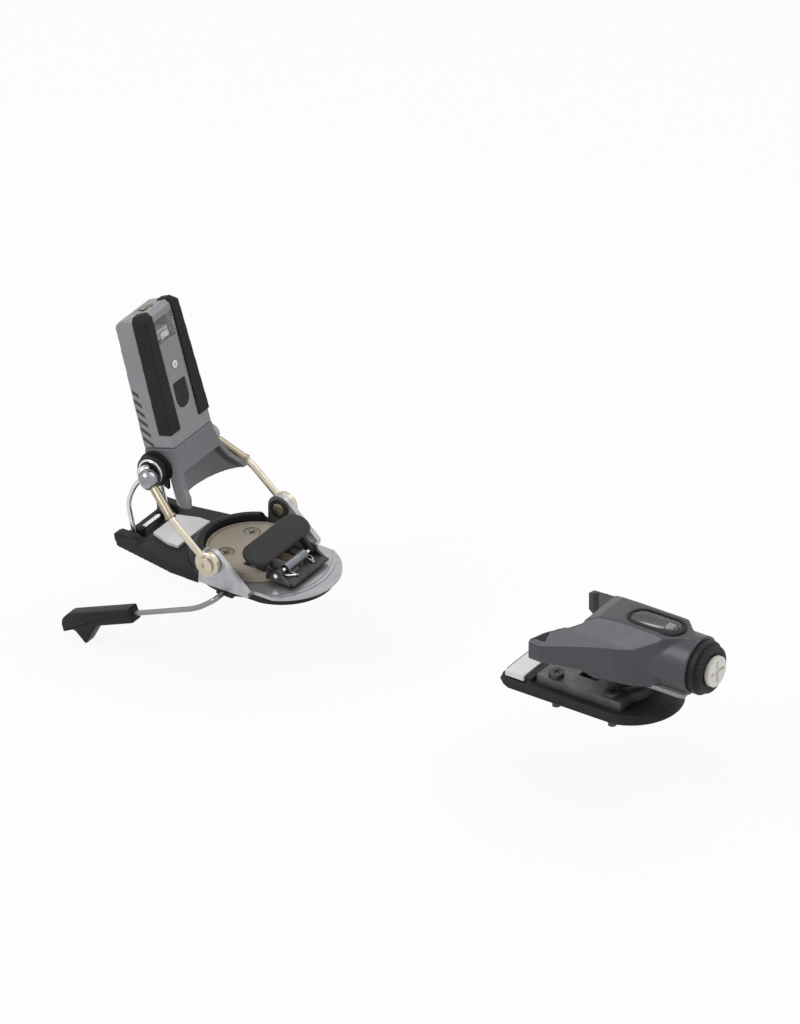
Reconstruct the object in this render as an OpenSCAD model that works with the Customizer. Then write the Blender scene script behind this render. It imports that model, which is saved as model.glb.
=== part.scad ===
// Alpine ski binding with a turntable heel, closed, without a boot.
// +X points to the tip of the ski, +Y to the skier's left, +Z up.
// The origin is the turntable's axis at the top surface of the ski.

/* [Placement] */
// Length of the boot sole that the two units are set to
boot_sole = 300; // [250:1:360]

/* [Heel base] */
// Thickness of the fixed base plate
base_t = 5; // [4.6:0.2:7]
// Thickness of the rotating turntable plate
table_t = 2.5; // [2:0.25:4]
// Radius of the turntable's front arc
table_r = 58; // [52:1:70]
// Radius of the fixed centre disc
disc_r = 31; // [30:0.5:33]
// Height of the centre disc's top above the ski
disc_top = 15; // [14:0.5:16]
// Spacing of the heel screws along the ski
heel_screw_dx = 24; // [22:0.5:26]
// Spacing of the heel screws across the ski
heel_screw_dy = 29; // [28:0.5:31]
// Shank diameter of the mounting screws
screw_d = 5.5; // [4.5:0.1:6]
// Depth that the mounting screws reach into the ski
screw_reach = 9.5; // [7:0.5:12]
// Distance of the tail's end behind the turntable axis
tail_len = 88; // [80:1:105]
// Width of the tail at its end
tail_w = 54; // [52:1:66]
// Height of the raised ring that carries the boot heel
ring_top = 19.5; // [17:0.5:23]

/* [Side arms] */
// Half of the clear width between the ears
ear_y = 37; // [37:0.5:45]
// Thickness of each ear
ear_t = 3.7; // [3:0.1:5]
// Place of the ear bolt along the ski
ear_x = -6.5; // [-9:0.5:-4]
// Height of the ear bolt
ear_z = 22.5; // [20:0.5:26]
// Diameter of the arm's rod
rod_d = 4.2; // [3.6:0.1:5]
// Diameter of the tube over the upper part of the arm
sleeve_d = 6; // [5.4:0.1:7]
// Thickness of the arm's eyelet
eye_t = 4.5; // [4:0.1:6]

/* [Heel tower] */
// Place of the tower's foot along the ski
foot_x = -50; // [-56:1:-46]
// Height of the tower's foot
foot_z = 72; // [68:1:86]
// Angle that the tower leans back
tower_lean = 17; // [12:1:22]
// Height of the tower above its foot
tower_h = 95; // [84:1:120]
// Width of the tower at its foot
tower_w = 42; // [42:0.5:50]
// Width of the tower at its top
tower_top_w = 35; // [33:0.5:42]
// Depth of the jaw below the tower's foot
jaw_drop = 28; // [24:1:34]
// Width across the jaw's wings
jaw_w = 66; // [60:1:68]
// Thickness of the jaw's wall
jaw_t = 4; // [3:0.25:5]
// Diameter of the wire of the rear bail
bail_d = 3.2; // [2.6:0.1:3.8]

/* [Brake] */
// Length of the brake pedal across the ski
pedal_w = 62; // [54:1:63]
// Width of the brake pedal along the ski
pedal_l = 19; // [16:0.5:20]
// Thickness of the brake pedal
pedal_t = 4.5; // [3.5:0.25:5]
// Diameter of the brake wire
wire_d = 3.5; // [3:0.1:3.8]
// Distance of the brake arms from the ski's centre line
brake_y = 50; // [50:1:66]

/* [Toe base] */
// Width of the toe base
toe_w = 64; // [60:1:76]
// Thickness of the toe base
toe_base_t = 6; // [5:0.5:8]
// Height of the boot's slide pad above the ski
afd_top = 10.5; // [10:0.5:14]
// Spacing of the toe screws along the ski
toe_screw_dx = 41.5; // [40:0.5:43]
// Spacing of the toe screws across the ski
toe_screw_dy = 40; // [38:0.5:42]

/* [Toe housing] */
// Height of the toe housing's roof above the ski
toe_roof = 62; // [60:1:72]
// Width across the tips of the wings
wing_w = 74; // [68:1:84]
// Height of the wings' lower face above the ski
wing_z = 30; // [29:0.5:33]
// Radius of the spring barrel
barrel_r = 19.5; // [18:0.5:21]
// Height of the spring barrel's axis above the ski
barrel_z = 40.5; // [39:0.5:44]
// Distance of the barrel's front end from the toe pivot
barrel_len = 55; // [50:1:66]

/* [Hidden] */
$fn = 96;

// Clearances: a running fit on a pin, and the gap between other moving pieces
fit = 0.05;
gap = 0.3;
ball_grow = 1.04;

// Heel base and turntable
table_z = base_t + gap;
table_top = table_z + table_t;
base_r = ear_y - 0.5;
hub_r = 24;
ear_r = 8.6;
ear_foot_x = 22;
lobe_y = ear_y - 2.5;
lobe_r = 38;
bolt_r = 3.45;
screw_r = screw_d / 2;
neck_r = screw_r - 0.25;
head_r = 4.9;
head_h = 3;
pocket_x = 5;
pocket_y = 21.2;
bracket_t = 1.6;
bracket_z = table_top + 2.2;

// Tail
tail_z = 0.5;
tail_top = table_top;
tail_hook_top = 10.5;
hook_in = 20.5;
hook_len = 18;
tail_floor = 3.6;
tail_cut_r = base_r + gap;
tail_front = ear_x - ear_r - gap;
ring_in = disc_r + 1.2;
ring_out = base_r + 5.5;
ring_end_x = -16;

// Brake
wire_r = wire_d / 2;
wire_x = 3;
wire_z = base_t / 2;
lever_y = 5;
slot_in = lever_y - wire_r - 0.4;
slot_out = lever_y + wire_r + 0.4;
lever_len = 23.3;
lever_rise = 48.6;
brake_elbow = [-10, -8];
brake_end = [-110, -49];
brake_toe = brake_elbow + 0.47 * (brake_end - brake_elbow);
wire_end = brake_toe + 0.4 * (brake_end - brake_toe);
foot_t = 10;
foot_w = 10;
pedal_hinge = [30, bracket_z + 4.8];
spring_half = 11;
lug_r = 2.8;
pedal_pin_r = 1.5;
pedal_tilt = 20;
pedal_mid = pedal_hinge + [-13, 12.7];
cheek_y = 21;

// Side arms and tower
rod_y = ear_y + ear_t + gap + eye_t / 2;
rod_r = rod_d / 2;
ear = [ear_x, ear_z];
foot = [foot_x, foot_z];
pivot_d = -11.5;
pivot_w = -5;
local_pivot = [pivot_d, pivot_w];
pivot = foot + [
    pivot_d * cos(tower_lean) - pivot_w * sin(tower_lean),
    pivot_d * sin(tower_lean) + pivot_w * cos(tower_lean)];
arm_bend = foot + [18, -28];
knob_y = 32.5;
tube_run = [pivot[0] - arm_bend[0], knob_y - rod_y, pivot[1] - arm_bend[1]];
tube_len = norm(tube_run);
cheek = tower_w / 2 + 0.2;
cam_t = 2.3;
drum_in = cheek + cam_t + gap;
drum_out = drum_in + 4.5;
drum_r = 10.5;
axle_r = 4;
knob_sin = (rod_y - knob_y) / tube_len;
axle_end = min(drum_out - 2.2, knob_y - 4.3 * knob_sin - 5.3 * sqrt(1 - knob_sin * knob_sin) - gap);
cup_r = 6.2;
tower_low = 8;
tower_rear = -17.5;
tower_front_low = 6;
tower_front_top = 7.5;
rail_y = 10.5;
rail_back = -3;
rail_low = 17;
rail_depth = 2;
rail_proud = 0.8;
spring_d = -6;
spring_bore_r = 9.3;
nut_low = tower_h - 20.5;
screw_low = tower_h - 7;
window_low = tower_h - 21;
window_high = tower_h - 5;
window_y = 9.3;
plug_r = 6.4;
plug_w = tower_h * 0.36;
plug_len = tower_h * 0.12;
face_screw_w = tower_h * 0.6;
bail_r = bail_d / 2;
bail_pin_r = bail_r + 0.1;
bail_y = 18;
bail_stub = 9;
keeper_in = 10;
keeper_out = bail_y - bail_r - gap;
bail_foot = [-tail_len + 9.3, 7];
bail_knee = [-tail_len + 4, 29];
bail_shin = [-tail_len + 9, 42];
bail_top = foot + [-20.5, -18.5];
roller_r = 4;

// Toe unit, measured from its own pivot
toe_x = boot_sole - 22;
toe_rear = -79;
toe_front = 35;
afd_rear = -71;
afd_front = -57;
plate_rear = -50;
plate_front = 12;
plate_z = toe_base_t + 0.2;
plate_top = plate_z + 6;
toe_screw_x = -39;
post_r = 8;
post_top = barrel_z + 13;
piston_x = post_r + 0.1;
toe_nut_x = 27.6;
wing_tip_x = -49;
neck_y = 27;
barrel_bore = 13;
nose_x = barrel_len - 8;
nose_y = 5;
pad_skin = 2.6;
barrel_floor = barrel_z - 14.5;

// A straight round bar between two points
module bar(a, b, r) {
    v = b - a;
    translate(a)
        rotate([0, acos(v[2] / norm(v)), atan2(v[1], v[0])])
            cylinder(r = r, h = norm(v));
}

// A round bar along straight runs, with a slightly larger ball that closes each corner
module wire(points, r) {
    for (i = [0 : len(points) - 2])
        bar(points[i], points[i + 1], r);
    for (i = [1 : len(points) - 2])
        translate(points[i])
            sphere(r = r * ball_grow);
}

// Points given as [x, z], put into the upright plane at y
function in_plane(points, y) = [for (p = points) [p[0], y, p[1]]];

// A cylinder that lies across the ski, from y0 to y1, about the point [x, z]
module cross_bar(at, y0, y1, r) {
    translate([at[0], min(y0, y1), at[1]])
        rotate([-90, 0, 0])
            cylinder(r = r, h = abs(y1 - y0));
}

// An outline in the upright plane along the ski, made thick from y0 to y1
module side_slab(y0, y1) {
    translate([0, max(y0, y1), 0])
        rotate([90, 0, 0])
            linear_extrude(abs(y1 - y0))
                children();
}

// An outline in the upright plane across the ski, made thick from x0 to x1
module front_slab(x0, x1) {
    translate([x0, 0, 0])
        rotate([90, 0, 90])
            linear_extrude(x1 - x0)
                children();
}

// A close-wound spring about +Z, as touching rounds turned about its axis
module coil(r, wire, length) {
    turns = ceil((length - wire) / (wire * 0.94)) + 1;
    step = (length - wire) / (turns - 1);
    rotate_extrude()
        for (i = [0 : turns - 1])
            translate([r, wire / 2 + i * step])
                circle(d = wire, $fn = 24);
}

// A slotted cross for a screwdriver, sunk from z = 0 downwards
module cross_slot(size, deep) {
    for (a = [0, 90])
        rotate([0, 0, a])
            translate([-size / 2, -size * 0.09, -deep])
                cube([size, size * 0.18, deep + 1]);
}

// A mounting screw with a plain neck above its thread: its head's underside is at the height given
module mounting_screw(head_z) {
    difference() {
        union() {
            translate([0, 0, -screw_reach])
                cylinder(r = screw_r, h = screw_reach);
            translate([0, 0, -0.5])
                cylinder(r = neck_r, h = head_z + 0.6);
            translate([0, 0, head_z])
                cylinder(r = head_r, h = head_h);
        }
        translate([0, 0, head_z + head_h])
            cross_slot(5.2, 1.6);
    }
}

module at_heel_screws(front = true, rear = true) {
    xs = concat(front ? [heel_screw_dx / 2] : [], rear ? [-heel_screw_dx / 2] : []);
    for (x = xs, s = [-1, 1])
        translate([x, s * heel_screw_dy / 2, 0])
            children();
}

module at_toe_screws() {
    for (x = [toe_screw_x, toe_screw_x + toe_screw_dx], s = [-1, 1])
        translate([toe_x + x, s * toe_screw_dy / 2, 0])
            children();
}

// The slot that one brake lever swings in, from x0 to x1
module lever_slot(s, x0, x1) {
    translate([x0, s > 0 ? slot_in : -slot_out, -1])
        cube([x1 - x0, slot_out - slot_in, disc_top + 2]);
}

// ---------- heel base ----------

// The rounded front part of the turntable, cut back by c at its arc and by g at its sides
module front_lobe(c, g) {
    intersection() {
        circle(r = table_r - c);
        translate([table_r - lobe_r, 0])
            circle(r = lobe_r - c);
        translate([0, g - lobe_y])
            square([table_r, 2 * lobe_y - 2 * g]);
    }
}

module heel_base() {
    color("#2b2b2d")
        difference() {
            union() {
                cylinder(r = base_r, h = base_t);
                linear_extrude(base_t)
                    front_lobe(4, 1);
                for (s = [-1, 1])
                    translate([wire_x - 6, s > 0 ? ear_y - 2 : -ear_y - 2, 0])
                        cube([12, 4, base_t]);
            }
            at_heel_screws()
                translate([0, 0, -1])
                    cylinder(r = screw_r + fit, h = base_t + 2);
            cross_bar([wire_x, wire_z], -ear_y - 3, ear_y + 3, wire_r + fit);
            for (s = [-1, 1])
                lever_slot(s, wire_x - wire_r - 0.4, wire_x + wire_r + 9);
        }
}

module centre_disc() {
    color("#897f72")
        difference() {
            union() {
                translate([0, 0, base_t])
                    cylinder(r = hub_r, h = disc_top - base_t - 1);
                translate([0, 0, table_top + gap])
                    cylinder(r = disc_r, h = disc_top - table_top - gap);
            }
            translate([pocket_x, -pocket_y, bracket_z])
                cube([disc_r + 2, 2 * pocket_y, disc_top]);
            for (s = [-1, 1])
                lever_slot(s, wire_x - wire_r - 0.4, disc_r + 2);
            at_heel_screws()
                cylinder(r = screw_r + fit, h = disc_top + 1);
            at_heel_screws(front = false)
                translate([0, 0, disc_top - head_h - 0.4])
                    cylinder(r = head_r + 0.5, h = head_h + 2);
            translate([0, 0, disc_top - 0.6])
                difference() {
                    cylinder(r = disc_r - 1.6, h = 2);
                    translate([0, 0, -1])
                        cylinder(r = disc_r - 2.2, h = 4);
                }
        }
}

module heel_screws() {
    color("#77726a") {
        at_heel_screws(front = false)
            mounting_screw(disc_top - head_h - 0.4);
        at_heel_screws(rear = false)
            mounting_screw(bracket_z + bracket_t);
    }
}

// ---------- turntable and tail ----------

module ear_outline() {
    translate(ear)
        circle(r = ear_r);
    polygon([
        [ear_x - ear_r, table_z], [ear_x - ear_r, ear_z], [ear_x + ear_r * 0.6, ear_z + ear_r * 0.8],
        [ear_foot_x, table_top + 0.8], [ear_foot_x, table_z]]);
}

module turntable() {
    color("#a2a3a6")
        difference() {
            union() {
                translate([0, 0, table_z])
                    linear_extrude(table_t)
                        difference() {
                            union() {
                                circle(r = base_r);
                                front_lobe(0, 0);
                                translate([ear_x - ear_r, -ear_y - ear_t])
                                    square([ear_foot_x - ear_x + ear_r, 2 * (ear_y + ear_t)]);
                            }
                            circle(r = hub_r + 0.1);
                        }
                for (s = [-1, 1])
                    side_slab(s * ear_y, s * (ear_y + ear_t))
                        ear_outline();
            }
            cross_bar(ear, -ear_y - ear_t - 1, ear_y + ear_t + 1, bolt_r + fit);
            for (r = [table_r - 6, table_r - 9])
                translate([0, 0, table_top - 0.5])
                    difference() {
                        cylinder(r = r, h = 1);
                        translate([0, 0, -1])
                            cylinder(r = r - 1, h = 3);
                        translate([-2 * table_r + 12, -table_r, -1])
                            cube([2 * table_r, 2 * table_r, 3]);
                    }
        }
}

module tail_outline() {
    polygon([
        [-tail_len, -tail_w / 2 + 2], [-tail_len + 2, -tail_w / 2], [-40, -base_r + 1], [-28, -base_r + 0.5],
        [tail_front, -base_r + 0.5], [tail_front, base_r - 0.5], [-28, base_r - 0.5], [-40, base_r - 1],
        [-tail_len + 2, tail_w / 2], [-tail_len, tail_w / 2 - 2]]);
}

module tail_block() {
    color("#262628")
        difference() {
            union() {
                translate([0, 0, tail_z])
                    linear_extrude(tail_top - tail_z)
                        tail_outline();
                for (s = [-1, 1])
                    side_slab(s * hook_in, s * tail_w / 2)
                        polygon([
                            [-tail_len, tail_floor], [-tail_len - 1, tail_hook_top - 2],
                            [-tail_len + 2, tail_hook_top], [-tail_len + hook_len - 4, tail_hook_top],
                            [-tail_len + hook_len + 4, tail_top - 1]]);
                translate([0, 0, table_top])
                    difference() {
                        cylinder(r = ring_out, h = ring_top - table_top);
                        translate([ring_end_x, -ring_out, -1])
                            cube([2 * ring_out, 2 * ring_out, ring_top]);
                        translate([0, 0, ring_top - table_top - 3])
                            rotate_extrude()
                                polygon([
                                    [ring_out - 6, 3.1], [ring_out + 1, 3.1],
                                    [ring_out + 1, -4], [ring_out - 0.8, -4]]);
                    }
            }
            translate([0, 0, -1])
                cylinder(r = tail_cut_r, h = table_top + 1);
            translate([0, 0, -1])
                linear_extrude(table_z + 1)
                    intersection() {
                        circle(r = ear_y + 3.4);
                        translate([-32, -table_r])
                            square(2 * table_r);
                    }
            cylinder(r = ring_in, h = ring_top + 1);
            translate([-tail_len - 1, -hook_in, tail_floor])
                cube([hook_len + 1, 2 * hook_in, ring_top]);
            translate([-tail_len - 3, -tail_w, -0.1])
                rotate([0, 12, 0])
                    translate([-30, 0, -12])
                        cube([40, 2 * tail_w, 12]);
        }
    keeper_half = 3.4;
    color("#262628")
        difference() {
            for (s = [-1, 1])
                translate([bail_foot[0] - keeper_half, s > 0 ? keeper_in : -keeper_out, tail_floor - 0.5])
                    cube([2 * keeper_half, keeper_out - keeper_in, bail_foot[1] + bail_r + 2.2 - tail_floor]);
            cross_bar(bail_foot, -bail_y, bail_y, bail_pin_r + fit);
        }
}

module tail_pad() {
    color("#c9c9c8")
        translate([0, 0, tail_top])
            linear_extrude(1.8)
                polygon([[-68, -13], [-54, -18], [-46, -18], [-46, 18], [-54, 18], [-68, 13]]);
}

// ---------- brake ----------

module brake_bracket() {
    color("#3d3c3a")
        difference() {
            union() {
                translate([pocket_x + 0.3, -cheek_y + 1.4, bracket_z])
                    cube([pedal_hinge[0] + 12 - pocket_x, 2 * cheek_y - 2.8, bracket_t]);
                for (s = [-1, 1])
                    side_slab(s * (cheek_y - 2.2), s * (cheek_y - 0.4))
                        union() {
                            translate(pedal_hinge)
                                circle(r = 3.6);
                            polygon([
                                [pedal_hinge[0] - 7, bracket_z], [pedal_hinge[0] - 3.6, pedal_hinge[1]],
                                [pedal_hinge[0] + 3.6, pedal_hinge[1]], [pedal_hinge[0] + 11, bracket_z]]);
                        }
            }
            at_heel_screws(rear = false)
                cylinder(r = screw_r + fit, h = disc_top + 1);
            translate([0, -spring_half - 1, 0])
                cube([pedal_hinge[0] + 4.5, 2 * spring_half + 2, bracket_z + bracket_t + 1]);
            cross_bar(pedal_hinge, -cheek_y, cheek_y, pedal_pin_r + fit);
        }
}

module brake_hinge_pin() {
    color("#c8c8c6")
        cross_bar(pedal_hinge, -cheek_y - 0.8, cheek_y + 0.8, pedal_pin_r);
}

module brake_spring() {
    color("#b9b9b6") {
        translate([pedal_hinge[0], -spring_half, pedal_hinge[1]])
            rotate([-90, 0, 0])
                coil(pedal_pin_r + 1.1, 1.4, 2 * spring_half);
        for (s = [-1, 1])
            bar(
                [pedal_hinge[0] + 1.5, s * (spring_half - 1.5), pedal_hinge[1] - 1.6],
                [pedal_hinge[0] + 9, s * (spring_half - 1.5), bracket_z + bracket_t + 0.8], 0.7);
    }
}

// The pedal's own place, with its length across the ski and its rear edge raised
module at_pedal() {
    translate([pedal_mid[0], 0, pedal_mid[1]])
        rotate([0, pedal_tilt, 0])
            children();
}

module brake_pedal() {
    color("#353437")
        difference() {
            union() {
                at_pedal()
                    translate([0, 0, -pedal_t]) {
                        translate([-pedal_l / 2, -pedal_w / 2 + pedal_l / 2, 0])
                            cube([pedal_l, pedal_w - pedal_l, pedal_t]);
                        for (s = [-1, 1])
                            translate([0, s * (pedal_w - pedal_l) / 2, 0])
                                cylinder(r = pedal_l / 2, h = pedal_t);
                    }
                for (s = [-1, 1])
                    side_slab(s * (cheek_y - 2.5), s * (cheek_y - 5.5))
                        union() {
                            translate(pedal_hinge)
                                circle(r = lug_r);
                            polygon([
                                pedal_hinge + [-lug_r, 0], pedal_hinge + [lug_r, 0],
                                pedal_mid + [pedal_l / 2 - 1, -4.5], pedal_mid + [pedal_l / 2 - 7, -4]]);
                        }
            }
            cross_bar(pedal_hinge, -cheek_y, cheek_y, pedal_pin_r + fit);
        }
}

// One brake wire: the lever under the pedal, the axle under the turntable and the long arm
module brake_wire(s) {
    axle = [wire_x, wire_z];
    tip = axle + lever_len * [cos(lever_rise), sin(lever_rise)];
    color("#8a8a88")
        wire(
            concat(
                in_plane([tip, axle], s * lever_y),
                in_plane([axle, brake_elbow, wire_end], s * brake_y)),
            wire_r);
}

module brake_wire_left() { brake_wire(1); }
module brake_wire_right() { brake_wire(-1); }

// The plastic foot on a brake wire, with its hooked end and the spike that digs into the snow
module brake_foot(s) {
    run = norm(brake_end - brake_toe);
    u = (brake_end - brake_toe) / run;
    n = [u[1], -u[0]];
    half = foot_t / 2;
    outline = [
        [0, -half], [0, half], [run - 7, half], [run - 1.5, half - 3], [run + 0.5, -1], [run + 1, -half - 2],
        [run - 8, -half - 1.2], [run - 13.5, -half - 11.5], [run - 27, -half]];
    color("#28282a")
        difference() {
            side_slab(s * brake_y - foot_w / 2, s * brake_y + foot_w / 2)
                polygon([for (p = outline) brake_toe + p[0] * u + p[1] * n]);
            bar(
                [brake_toe[0] - 5 * u[0], s * brake_y, brake_toe[1] - 5 * u[1]],
                [wire_end[0] + fit * u[0], s * brake_y, wire_end[1] + fit * u[1]], wire_r + fit);
        }
}

module brake_foot_left() { brake_foot(1); }
module brake_foot_right() { brake_foot(-1); }

// ---------- side arms ----------

module ear_bolts() {
    color("#d8d4c8")
        for (s = [-1, 1])
            difference() {
                union() {
                    cross_bar(ear, s * (ear_y - 1), s * (rod_y + eye_t / 2 + gap), bolt_r);
                    cross_bar(ear, s * (rod_y + eye_t / 2 + gap), s * (rod_y + eye_t / 2 + gap + 1.4), 5.4);
                }
                translate([ear_x, s * (rod_y + eye_t / 2 + gap + 1.4), ear_z])
                    rotate([-90 * s, 0, 0])
                        translate([0, 0, -1])
                            cylinder(r = 2.3, h = 3, $fn = 6);
            }
}

module ear_caps() {
    color("#4a4a4c")
        for (s = [-1, 1])
            difference() {
                cross_bar(ear, s * (ear_y - 1.4), s * ear_y, 6.4);
                cross_bar(ear, s * (ear_y - 1.2), s * (ear_y + 1), bolt_r + fit);
            }
}

module side_arm(s) {
    color("#cfc8b8")
        difference() {
            union() {
                cross_bar(ear, s * (rod_y - eye_t / 2), s * (rod_y + eye_t / 2), ear_r);
                bar([ear[0], s * rod_y, ear[1]], [arm_bend[0], s * rod_y, arm_bend[1]], rod_r);
                at_tube(s) {
                    translate([0, 0, -3])
                        cylinder(r = rod_r + 0.9, h = 5.5);
                    cylinder(r = rod_r, h = tube_len - 1);
                }
            }
            cross_bar(ear, s * (rod_y - eye_t), s * (rod_y + eye_t), bolt_r + fit);
        }
}

module side_arm_left() { side_arm(1); }
module side_arm_right() { side_arm(-1); }

// Local place on the arm's upper tube: +Z runs along the tube from the bend to the pivot
module at_tube(s) {
    translate([arm_bend[0], s * rod_y, arm_bend[1]])
        rotate([0, acos(tube_run[2] / tube_len), atan2(s * tube_run[1], tube_run[0])])
            children();
}

module arm_sleeve(s) {
    color("#9a927f")
        at_tube(s)
            difference() {
                union() {
                    translate([0, 0, 4])
                        cylinder(r = sleeve_d / 2, h = tube_len - 4 - 9.2);
                    translate([0, 0, 3])
                        cylinder(r = sleeve_d / 2 + 0.5, h = 2.4);
                }
                cylinder(r = rod_r + fit, h = tube_len);
            }
}

module arm_sleeve_left() { arm_sleeve(1); }
module arm_sleeve_right() { arm_sleeve(-1); }

module arm_carrier(s) {
    color("#242426")
        difference() {
            union() {
                cross_bar(pivot, s * drum_in, s * drum_out, drum_r);
                at_tube(s)
                    translate([0, 0, tube_len - 9])
                        cylinder(r = cup_r, h = 10.5);
            }
            at_tube(s)
                translate([0, 0, tube_len + 1.5])
                    cylinder(r = 5.3 + gap, h = 12);
            cross_bar(pivot, s * (drum_in - 1), s * (axle_end + 0.3), axle_r + fit);
            at_tube(s) {
                translate([0, 0, tube_len - 10])
                    cylinder(r = rod_r + fit, h = 9.4);
                translate([0, 0, tube_len - 0.6])
                    cylinder(r = 2.6, h = 4);
            }
        }
}

module arm_carrier_left() { arm_carrier(1); }
module arm_carrier_right() { arm_carrier(-1); }

module pressure_screw(s) {
    color("#d9dadc")
        at_tube(s)
            translate([0, 0, tube_len])
                difference() {
                    union() {
                        translate([0, 0, -0.3])
                            cylinder(r = 2.55, h = 3);
                        translate([0, 0, 1.7])
                            cylinder(r = 5.3, h = 2.6);
                        translate([0, 0, 4.3])
                            cylinder(r = 4.3, h = 1.2);
                    }
                    translate([-5, -0.7, 4.1])
                        cube([10, 1.4, 3]);
                }
}

module pressure_screw_left() { pressure_screw(1); }
module pressure_screw_right() { pressure_screw(-1); }

// ---------- rear bail ----------

module rear_bail() {
    color("#c9c9c9") {
        for (s = [-1, 1]) {
            wire(in_plane([bail_foot, bail_knee, bail_shin, bail_top], s * bail_y), bail_r);
            cross_bar(bail_top, s * bail_stub, s * (bail_y + bail_r), bail_pin_r);
        }
        cross_bar(bail_foot, -bail_y - bail_r, bail_y + bail_r, bail_pin_r);
    }
}

module bail_roller() {
    color("#8b8c8f")
        difference() {
            cross_bar(bail_top, -keeper_out, keeper_out, roller_r);
            cross_bar(bail_top, -bail_y, bail_y, bail_pin_r + fit);
        }
}

// ---------- heel tower; local +X is forward, +Z runs up the leaning tower ----------

module at_tower() {
    translate([foot_x, 0, foot_z])
        rotate([0, -tower_lean, 0])
            children();
}

// The tower's outer form, grown or shrunk by g on every side but its foot
module tower_form(g) {
    intersection() {
        side_slab(-tower_w, tower_w)
            polygon([
                [tower_rear - g, tower_low], [tower_rear - g, tower_h - 5 + g / 2],
                [tower_rear + 3 - g / 2, tower_h - 2 + g], [tower_front_top - 3 + g / 2, tower_h + 2 + g],
                [tower_front_top + g, tower_h - 1 + g / 2], [tower_front_low + g, tower_low]]);
        front_slab(-2 * tower_w, 2 * tower_w)
            polygon([
                [-tower_w / 2 - g, tower_low], [tower_w / 2 + g, tower_low],
                [tower_top_w / 2 + g, tower_h - 2 + g / 2], [tower_top_w / 2 - 3 + g / 2, tower_h + 2 + g],
                [3 - tower_top_w / 2 - g / 2, tower_h + 2 + g], [-tower_top_w / 2 - g, tower_h - 2 + g / 2]]);
    }
}

// The box that holds one front corner of the tower, where a rail lies
module rail_zone(s) {
    translate([rail_back, s > 0 ? rail_y : -rail_y - tower_w, rail_low])
        cube([tower_w, tower_w, tower_h]);
}

module tower_housing() {
    color("#8c8d8f")
        at_tower()
            difference() {
                tower_form(0);
                for (s = [-1, 1])
                    difference() {
                        rail_zone(s);
                        tower_form(-rail_depth);
                    }
                translate([spring_d, 0, tower_low - 1])
                    cylinder(r = spring_bore_r, h = nut_low - tower_low + 1);
                translate([-15, -8.5, nut_low - 1])
                    cube([20, 17, screw_low - nut_low + 1]);
                translate([spring_d, 0, screw_low - 1])
                    cylinder(r = 6.6, h = 14);
                translate([3, -window_y - 0.1, window_low])
                    cube([10, 2 * window_y + 0.2, window_high - window_low]);
                plug_form(0.1);
                translate([4, 0, face_screw_w])
                    rotate([0, 90, 0])
                        cylinder(r = 1.3 + fit, h = 8);
                translate([5.6, 0, face_screw_w])
                    rotate([0, 90, 0])
                        cylinder(r = 2.9, h = 8);
            }
}

module tower_rail(s) {
    color("#2a2a2c")
        at_tower()
            difference() {
                intersection() {
                    tower_form(rail_proud);
                    rail_zone(s);
                }
                tower_form(-rail_depth);
            }
}

module tower_rail_left() { tower_rail(1); }
module tower_rail_right() { tower_rail(-1); }

// The U-shaped plug in the tower's front face
module plug_form(g) {
    intersection() {
        front_slab(4.4, 12)
            union() {
                translate([-plug_r - g, plug_w - g])
                    square([2 * plug_r + 2 * g, plug_len + 2 * g]);
                translate([0, plug_w])
                    circle(r = plug_r + g);
            }
        tower_form(-0.3 + g * 20);
    }
}

module slot_plug() {
    color("#303032")
        at_tower()
            plug_form(0);
}

module face_screw() {
    color("#c4c4c4")
        at_tower()
            translate([0, 0, face_screw_w])
                rotate([0, 90, 0])
                    difference() {
                        union() {
                            translate([0, 0, 4.2])
                                cylinder(r = 1.3, h = 2);
                            translate([0, 0, 5.7])
                                cylinder(r = 2.6, h = 1.3);
                        }
                        translate([0, 0, 7])
                            cross_slot(3.4, 0.7);
                    }
}

module heel_window() {
    color("#d8dcdd")
        at_tower()
            intersection() {
                tower_form(-0.4);
                translate([5.2, -window_y, window_low + 0.1])
                    cube([6, 2 * window_y, window_high - window_low - 0.2]);
            }
}

module heel_indicator() {
    color("#e9e8e0")
        at_tower()
            translate([0, 0, nut_low])
                difference() {
                    union() {
                        translate([spring_d - 7, -8.2, 0])
                            cube([14, 16.4, 6]);
                        translate([spring_d + 6, -4, 1])
                            cube([4.6, 8, 4]);
                    }
                    translate([spring_d, 0, -1])
                        cylinder(r = 3 + fit, h = 8);
                }
}

module heel_setting_screw() {
    color("#5c5c5e")
        at_tower()
            translate([spring_d, 0, 0])
                difference() {
                    union() {
                        translate([0, 0, nut_low - 16])
                            cylinder(r = 3, h = screw_low - nut_low + 17);
                        translate([0, 0, screw_low])
                            cylinder(r = 6.5, h = 5.6);
                    }
                    translate([0, 0, screw_low + 5.6])
                        cross_slot(9, 2);
                }
}

module heel_spring() {
    color("#7c8084")
        at_tower()
            translate([spring_d, 0, tower_low + 11])
                coil(7.3, 3.4, nut_low - tower_low - 11.4);
}

module heel_piston() {
    color("#9b9ea1")
        at_tower()
            translate([spring_d, 0, tower_low + 0.8])
                rotate_extrude()
                    polygon([[0, 0], [4, 0], [6.5, 3], [9, 4], [9, 10], [5.4, 10], [5.4, 18], [0, 18]]);
}

module heel_axle() {
    color("#babbbb")
        cross_bar(pivot, -axle_end, axle_end, axle_r);
}

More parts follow.
